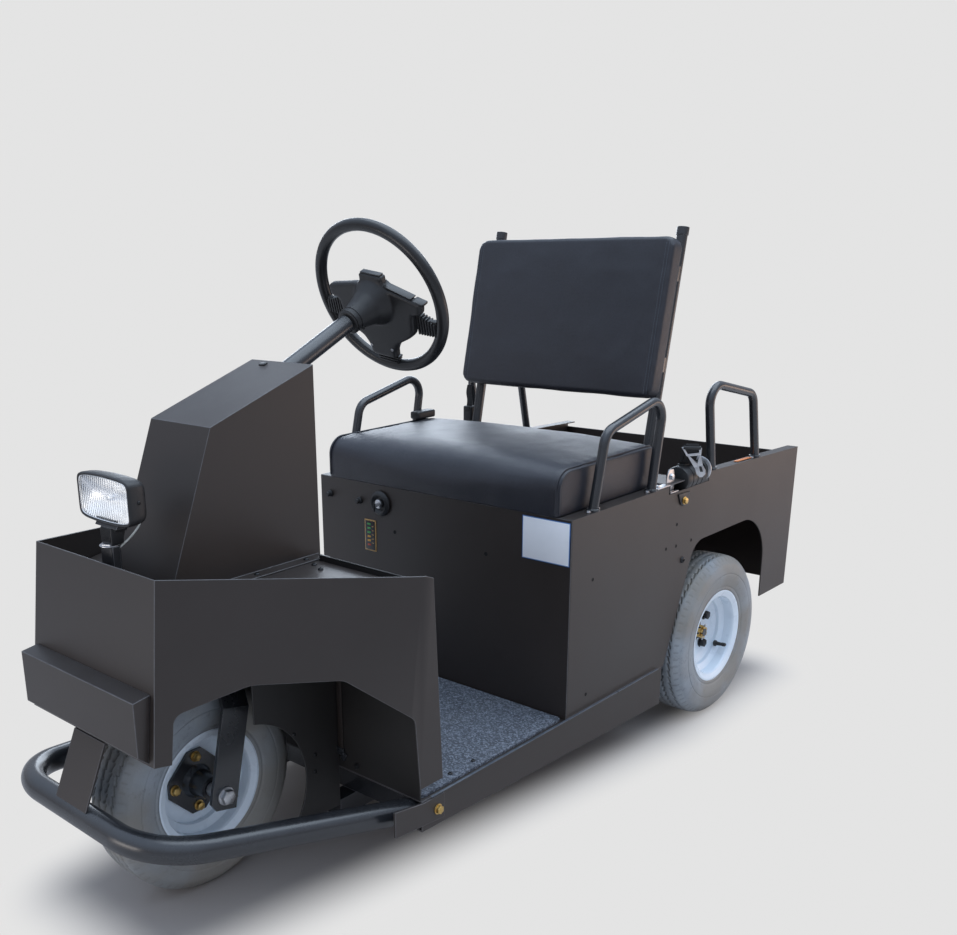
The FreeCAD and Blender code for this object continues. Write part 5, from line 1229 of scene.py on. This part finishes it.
# %% Making the pads
def make_pad(name, node, block, place, voxel, held, cap, seam, deep, pucker):
    """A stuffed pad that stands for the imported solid, and its surface for placing stitches on."""
    skin = remeshed(block, voxel)
    blow_up(skin, held, cap)
    settle(skin, seam, deep, pucker)
    skin.transform(place)
    shape = opened(skin)
    surface = BVHTree.FromBMesh(shape)
    pad = add_piece(name, shape, ["grained vinyl"], stands_for=(node,), sharp=80)
    smooth = pad.modifiers.new("smooth", "SUBSURF")
    smooth.levels = smooth.render_levels = 1
    return surface


cushion_place = Matrix.Translation(at(0, -2.5, 630.8))
back_turn = Matrix.Rotation(math.radians(-12.1), 4, "X")
back_place = Matrix.Translation(at(0, 433, 820)) @ back_turn @ Matrix.Translation((0, 0, -0.003))
make_pad("bench_cushion", "seat_cushion", cushion_block, cushion_place, voxel=6.8, held=cushion_held,
         cap=0.013, seam=cushion_seam, deep=0.0022, pucker=0.0018)
back_skin = make_pad("back_pad", "backrest_pad", back_block, back_place, voxel=6.0, held=back_held,
                     cap=0.005, seam=back_seam, deep=0.0018, pucker=0.0010)

# %% [markdown]
# ## Piping and stitches
# Two cords of piping run along each side outline of the cushion, from the base over the nose to the
# back: the double line of a welted seam.  Each is a thin tube that follows the outline.

# %% Piping
def cushion_outline(inset):
    """The side outline of the cushion, inset from its faces, in its own frame."""
    r = NOSE - inset
    straight = [(inset, 0.004 + i * 0.012) for i in range(5)]
    arc = [(NOSE - r * math.cos(a), CUSHION_T - NOSE + r * math.sin(a)) for a in
           (math.pi / 2 * i / 12 for i in range(13))]
    top = [(NOSE + i * 0.02, CUSHION_T - inset) for i in range(1, 16)]
    rear = [(CUSHION_D - 0.010, CUSHION_T - inset - 0.001), (CUSHION_D - inset - 0.002, CUSHION_T - 0.010),
            (CUSHION_D - inset, CUSHION_T - 0.022), (CUSHION_D - inset, 0.004)]
    return straight + arc + top + rear


shape = bmesh.new()
for side in (1, -1):
    for x, inset in ((CUSHION_W / 2 - 0.0025, 0.0052), (CUSHION_W / 2 - 0.0085, 0.0004)):
        add_cord(shape, [cushion_place @ Vector((side * x, y, z)) for y, z in cushion_outline(inset)], 2.1)
add_piece("cushion_piping", shape, ["grained vinyl"], sharp=60)

# %% Stitches on the backrest
make_finish("blue-grey thread", (0.07, 0.085, 0.11), (0.11, 0.13, 0.16), rough=(0.5, 0.6), clouds=80.0)
shape = bmesh.new()
into_face = back_turn.to_3x3() @ Vector((0, 1, 0))
for x in (-0.2660, -0.2590, 0.2590, 0.2660):
    for step in range(55):
        place = back_skin.ray_cast(back_place @ Vector((x, -0.05, 0.010 + step * 0.0062)), into_face)[0]
        if place is not None:
            add_block(shape, place - into_face * 0.0001, (0.9, 1, 4), 0.3, steps=1, turn=back_turn)
add_piece("back_stitches", shape, ["blue-grey thread"])

# %% [markdown]
# ## Seat belt
# Flat webbing is modelled directly: an edge is drawn out along a path, given thickness, and mapped in
# millimetres so that its weave has the right size.

# %% Straps
def add_strap(shape, path, across, wide, thick=1.3):
    """Webbing along a path of places; across is the direction of its width."""
    weave = shape.loops.layers.uv.get("strap") or shape.loops.layers.uv.new("strap")
    half = Vector(across).normalized() * wide / 2 * MM
    pairs = [(shape.verts.new(place - half), shape.verts.new(place + half)) for place in path]
    run, made = 0.0, []
    for start, end, (a, b), (c, d) in zip(path, path[1:], pairs, pairs[1:]):
        face = shape.faces.new((a, b, d, c))
        until = run + (end - start).length / MM
        for loop, mapped in zip(face.loops, ((0, run), (wide, run), (wide, until), (0, until))):
            loop[weave].uv = mapped
        run = until
        made.append(face)
    bmesh.ops.recalc_face_normals(shape, faces=made)
    bmesh.ops.solidify(shape, geom=made, thickness=thick * MM)


shape = bmesh.new()
belt = [(342, 500, 655), (345, 494, 668), (352, 484, 690), (358, 481, 706), (361.5, 481, 713),
        (365, 482.5, 712), (366, 484, 704), (361, 488, 690), (352, 497, 670)]
drop = [(-291, 489, 800), (-294, 488, 780), (-290, 487, 760), (-291, 486, 742)]
add_strap(shape, smooth_line([at(*place) for place in belt], 4), (0.6, 0.8, -0.03), 32)
add_strap(shape, smooth_line([at(*place) for place in drop], 4), LEFT, 17)
add_strap(shape, [at(-291, 486, 634), at(-291, 486.5, 660), at(-291, 486, 694)], LEFT, 22, 2.2)
add_piece("belt_webbing", shape, ["black webbing"], sharp=60)

# %% Reel case, buckles and anchor
shape = bmesh.new()
drum = [(0, 0), (25, 0), (28.5, 1.2), (30, 4.5)]
for groove in (21, 42, 64):
    drum += [(30, groove), (29, groove + 0.6), (29, groove + 4), (30, groove + 4.6)]
drum += [(30, 88), (27, 92), (0, 92)]
cover = [(0, 0), (28.5, 0), (30, 1), (30, 2.6), (0, 2.6)]
spool = [(0, 0), (22.5, 0), (22.5, 12), (0, 12)]
for place, profile, steps, finish in (((342, 462, 631), drum, 48, 0), ((348, 555, 642), cover, 40, 3),
                                      ((348, 544, 642), spool, 32, 1)):
    add_turned(shape, profile, at(*place), BACK, steps, finish)
add_blocks(shape, [((338.7, 530, 624.5), (53.8, 82, 24), 1.2), ((348.7, 525, 600), (30, 50, 26), 1.2)])
add_blocks(shape, [((340, 500, 661.8), (20, 40, 3), 1.2)], finish=1)
ear = ((425, 606), (478, 604), (476, 596), (463, 578), (450, 574), (438, 580))
add_plate(shape, [at(366.2, y, z) for y, z in ear], Vector((3.2, 0, 0)), 0.8)
add_piece("belt_reel", shape, ["moulded black", "black rubber", "blackened bolt", "zinc plate"],
          stands_for=("belt_retractor",))

shape = bmesh.new()
add_blocks(shape, [((-322, 332, 739.6), (30, 68, 19.5), 4.8), ((-291, 486, 717), (29.5, 19.5, 56), 4.8)],
           steps=4)
add_blocks(shape, [((-322, 304, 744.5), (19, 15, 10), 1.2), ((-322, 297.9, 738), (20, 2, 2.6), 0.4),
                   ((-291, 479, 738.5), (19, 10, 12), 1.2)], finish=2)
add_blocks(shape, [((-291, 486, 636.5), (26, 13, 6), 1.2)], finish=3)
add_piece("buckle_cases", shape, ["moulded black", "red button", "black rubber", "zinc plate"],
          stands_for=("belt_buckles",))

shape = bmesh.new()
add_blocks(shape, [((354, 366, 631.6), (19, 60, 2.6), 0.6), ((361, 411, 614.2), (10, 36, 2.6), 0.6)])
ear = ((392, 613), (428, 613), (430, 640), (424, 663), (404, 665), (394, 648))
add_plate(shape, [at(351.5, y, z) for y, z in ear], Vector((2.6, 0, 0)), 0.5)
add_bolt(shape, at(354.2, 412, 648), LEFT, across=12, tall=6)
add_bolt(shape, at(354, 352, 632.9), UP, across=11, tall=5)
add_piece("belt_anchor", shape, ["zinc plate"])

# %% [markdown]
# The tongue is a bright fork: two ears hold a black grip bar, and the arms meet in a slotted blade.
# Its six plates lie a hair apart, so that no two faces fall together.

# %% Belt tongue
FACING = Vector((0.80, -0.60, 0.0))
HAIR = 0.02


def on_tongue(e, z, out=0.0):
    """A place on the tongue's plate: e sideways, z upright and out of its face, in millimetres."""
    return at(373, 499, 665) + (Vector((0.6 * e, 0.8 * e, z)) + FACING * out) * MM


shape = bmesh.new()
for number, outline in enumerate((((-43, 41), (-38, 42.5), (-36, 38), (-27.5, 25), (-31, 21), (-36, 30)),
                                  ((6, 37.5), (2, 39), (-1.5, 35), (0.5, 25), (5.5, 24.5)),
                                  ((-31, 21), (-29, 25), (3, 27), (5.5, 24.5), (4.5, 20.5), (-27.5, 19.5)),
                                  ((-27.5, 19.5), (-22.5, 19.8), (-3, 1.5), (-2.5, -5), (-9, -9)),
                                  ((4.5, 20.5), (0.5, 20.2), (-3, 1.5), (-2.5, -5), (11, -3)),
                                  ((-2.5, -5), (11, -3), (18, -14), (18.5, -24), (12.5, -31), (5, -31),
                                   (-3, -24), (-9, -9)))):
    add_plate(shape, [on_tongue(e, z, HAIR * number) for e, z in outline], FACING * 2.6, 0.7)
slot = ((1, -5), (7.5, -5.5), (12.5, -18), (5.5, -18.5))
add_plate(shape, [on_tongue(e, z, 2.6) for e, z in slot], FACING * 0.4, 0.1, finish=1)
add_cord(shape, [on_tongue(-39 + 4.1 * n, 41 - 0.35 * n, 1.3) for n in range(11)], 4.6, sides=14, finish=1)
add_piece("tongue_fork", shape, ["zinc plate", "moulded black"],
          stands_for=("belt_tongue",))

# %% [markdown]
# ## Hoops
# Each hoop is welded to a small disc that is screwed to the flange.  The weld is a low bead round the
# tube, and the screws are bright.

# %% Welds and screws at the hoop feet
shape = bmesh.new()
bead = [(12.2 + 2.2 * math.cos(a), 2.2 * math.sin(a)) for a in (math.tau * i / 10 for i in range(11))]
for side in (1, -1):
    for y, z in ((326, 633.5), (94, 633.5), (603, 636.6), (835, 629.6)):
        add_turned(shape, bead, at(side * 354, y, z + 0.6), UP, 28)
        for way in (-17.5, 17.5):
            add_bolt(shape, at(side * 354, y + way, z - 2.6), UP, across=8, tall=3.6, washer=0.9, finish=1)
add_piece("hoop_feet", shape, ["tube coat", "zinc plate"])

shape = bmesh.new()
sloped = Matrix.Rotation(math.radians(-1.74), 4, "X")
add_blocks(shape, [((352, 772, 629.6), (11, 78, 1.2), 0.4)], turn=sloped)
add_piece("flange_marker", shape, ["marker orange"])

# %% [markdown]
# ## Small parts of the cowl, the rear and the running gear
# Screws on the flared sides, a clip beside the column, edges below the skirts coloured as a painted
# highlight, ribs on the pedals, bolts round the gear case and the motor, and screws along the tail.

# %% Cowl and tail
shape = bmesh.new()
for side in (1, -1):
    out = Vector((side * 0.918, -0.396, -0.03))
    for x, y, z in ((269, -673, 484), (347, -495, 388)):
        add_screw(shape, at(side * x, y, z) + out * 0.0004, out, wide=8, tall=2)
    for z in (300, 420, 560):
        add_screw(shape, at(side * 300, 1064.4 - (603 - z) * 0.027, z), BACK, wide=11, tall=2.2)
    for y in (-280, -350):
        add_screw(shape, at(side * 340, y, 197.4), UP, wide=10, tall=2.4)
add_blocks(shape, [((-34, -447, 961), (16, 10, 3), 0.8)], turn=Matrix.Rotation(0.33, 4, "X"))
add_piece("small_screws", shape, ["blackened bolt"])

shape = bmesh.new()
# A thin ledge along each skirt, its pale bluish colour a painted highlight.
add_blocks(shape, [((side * 371.3, -35, 196.6), (5, 812, 2.2), 0.8) for side in (1, -1)])
add_piece("skirt_edge_highlights", shape, ["skirt painted highlight"])

# %% Flange and bracket of the leg shield
shape = bmesh.new()
for side in (1, -1):
    add_blocks(shape, [((side * 158.5, -463.2, 397), (13, 2.2, 324), 0.7)])
    add_blocks(shape, [((side * 158.5, -464.6, 228), (19, 3.6, 15), 1.2)], finish=1)
    add_blocks(shape, [((side * 167, -463.6, 218), (12, 3, 18), 1.2)], finish=1,
               turn=Matrix.Rotation(side * 0.5, 4, "Y"))
    add_bolt(shape, at(side * 200, -462.6, 208), FRONT, across=9, tall=4, finish=2)
add_piece("shield_flange", shape, ["powder coat", "tube coat", "blackened bolt"])

# %% Pedals, gear case and motor
shape = bmesh.new()
for x, wide in ((-120, 70), (-235, 80)):
    add_blocks(shape, [((x + wide / 2, -442.5 + rib * 7.6, 230.5 + rib * 5.9), (wide - 8, 3.5, 3), 0.8)
                       for rib in range(6)], turn=Matrix.Rotation(math.radians(37), 4, "X"))
add_piece("pedal_ribs", shape, ["black rubber"])

shape = bmesh.new()
for side, axis in SIDES:
    for step in range(10):
        place = at(side * 57.5, 643, 204) + ring_of(74, math.tau * step / 10 + 0.2)
        add_bolt(shape, place, axis, across=10, tall=5)
    for step in range(6):
        place = at(side * 92.2, 475, 204) + ring_of(45, math.tau * step / 6)
        add_bolt(shape, place, axis, across=8, tall=4)
add_piece("drive_bolts", shape, ["zinc plate"])
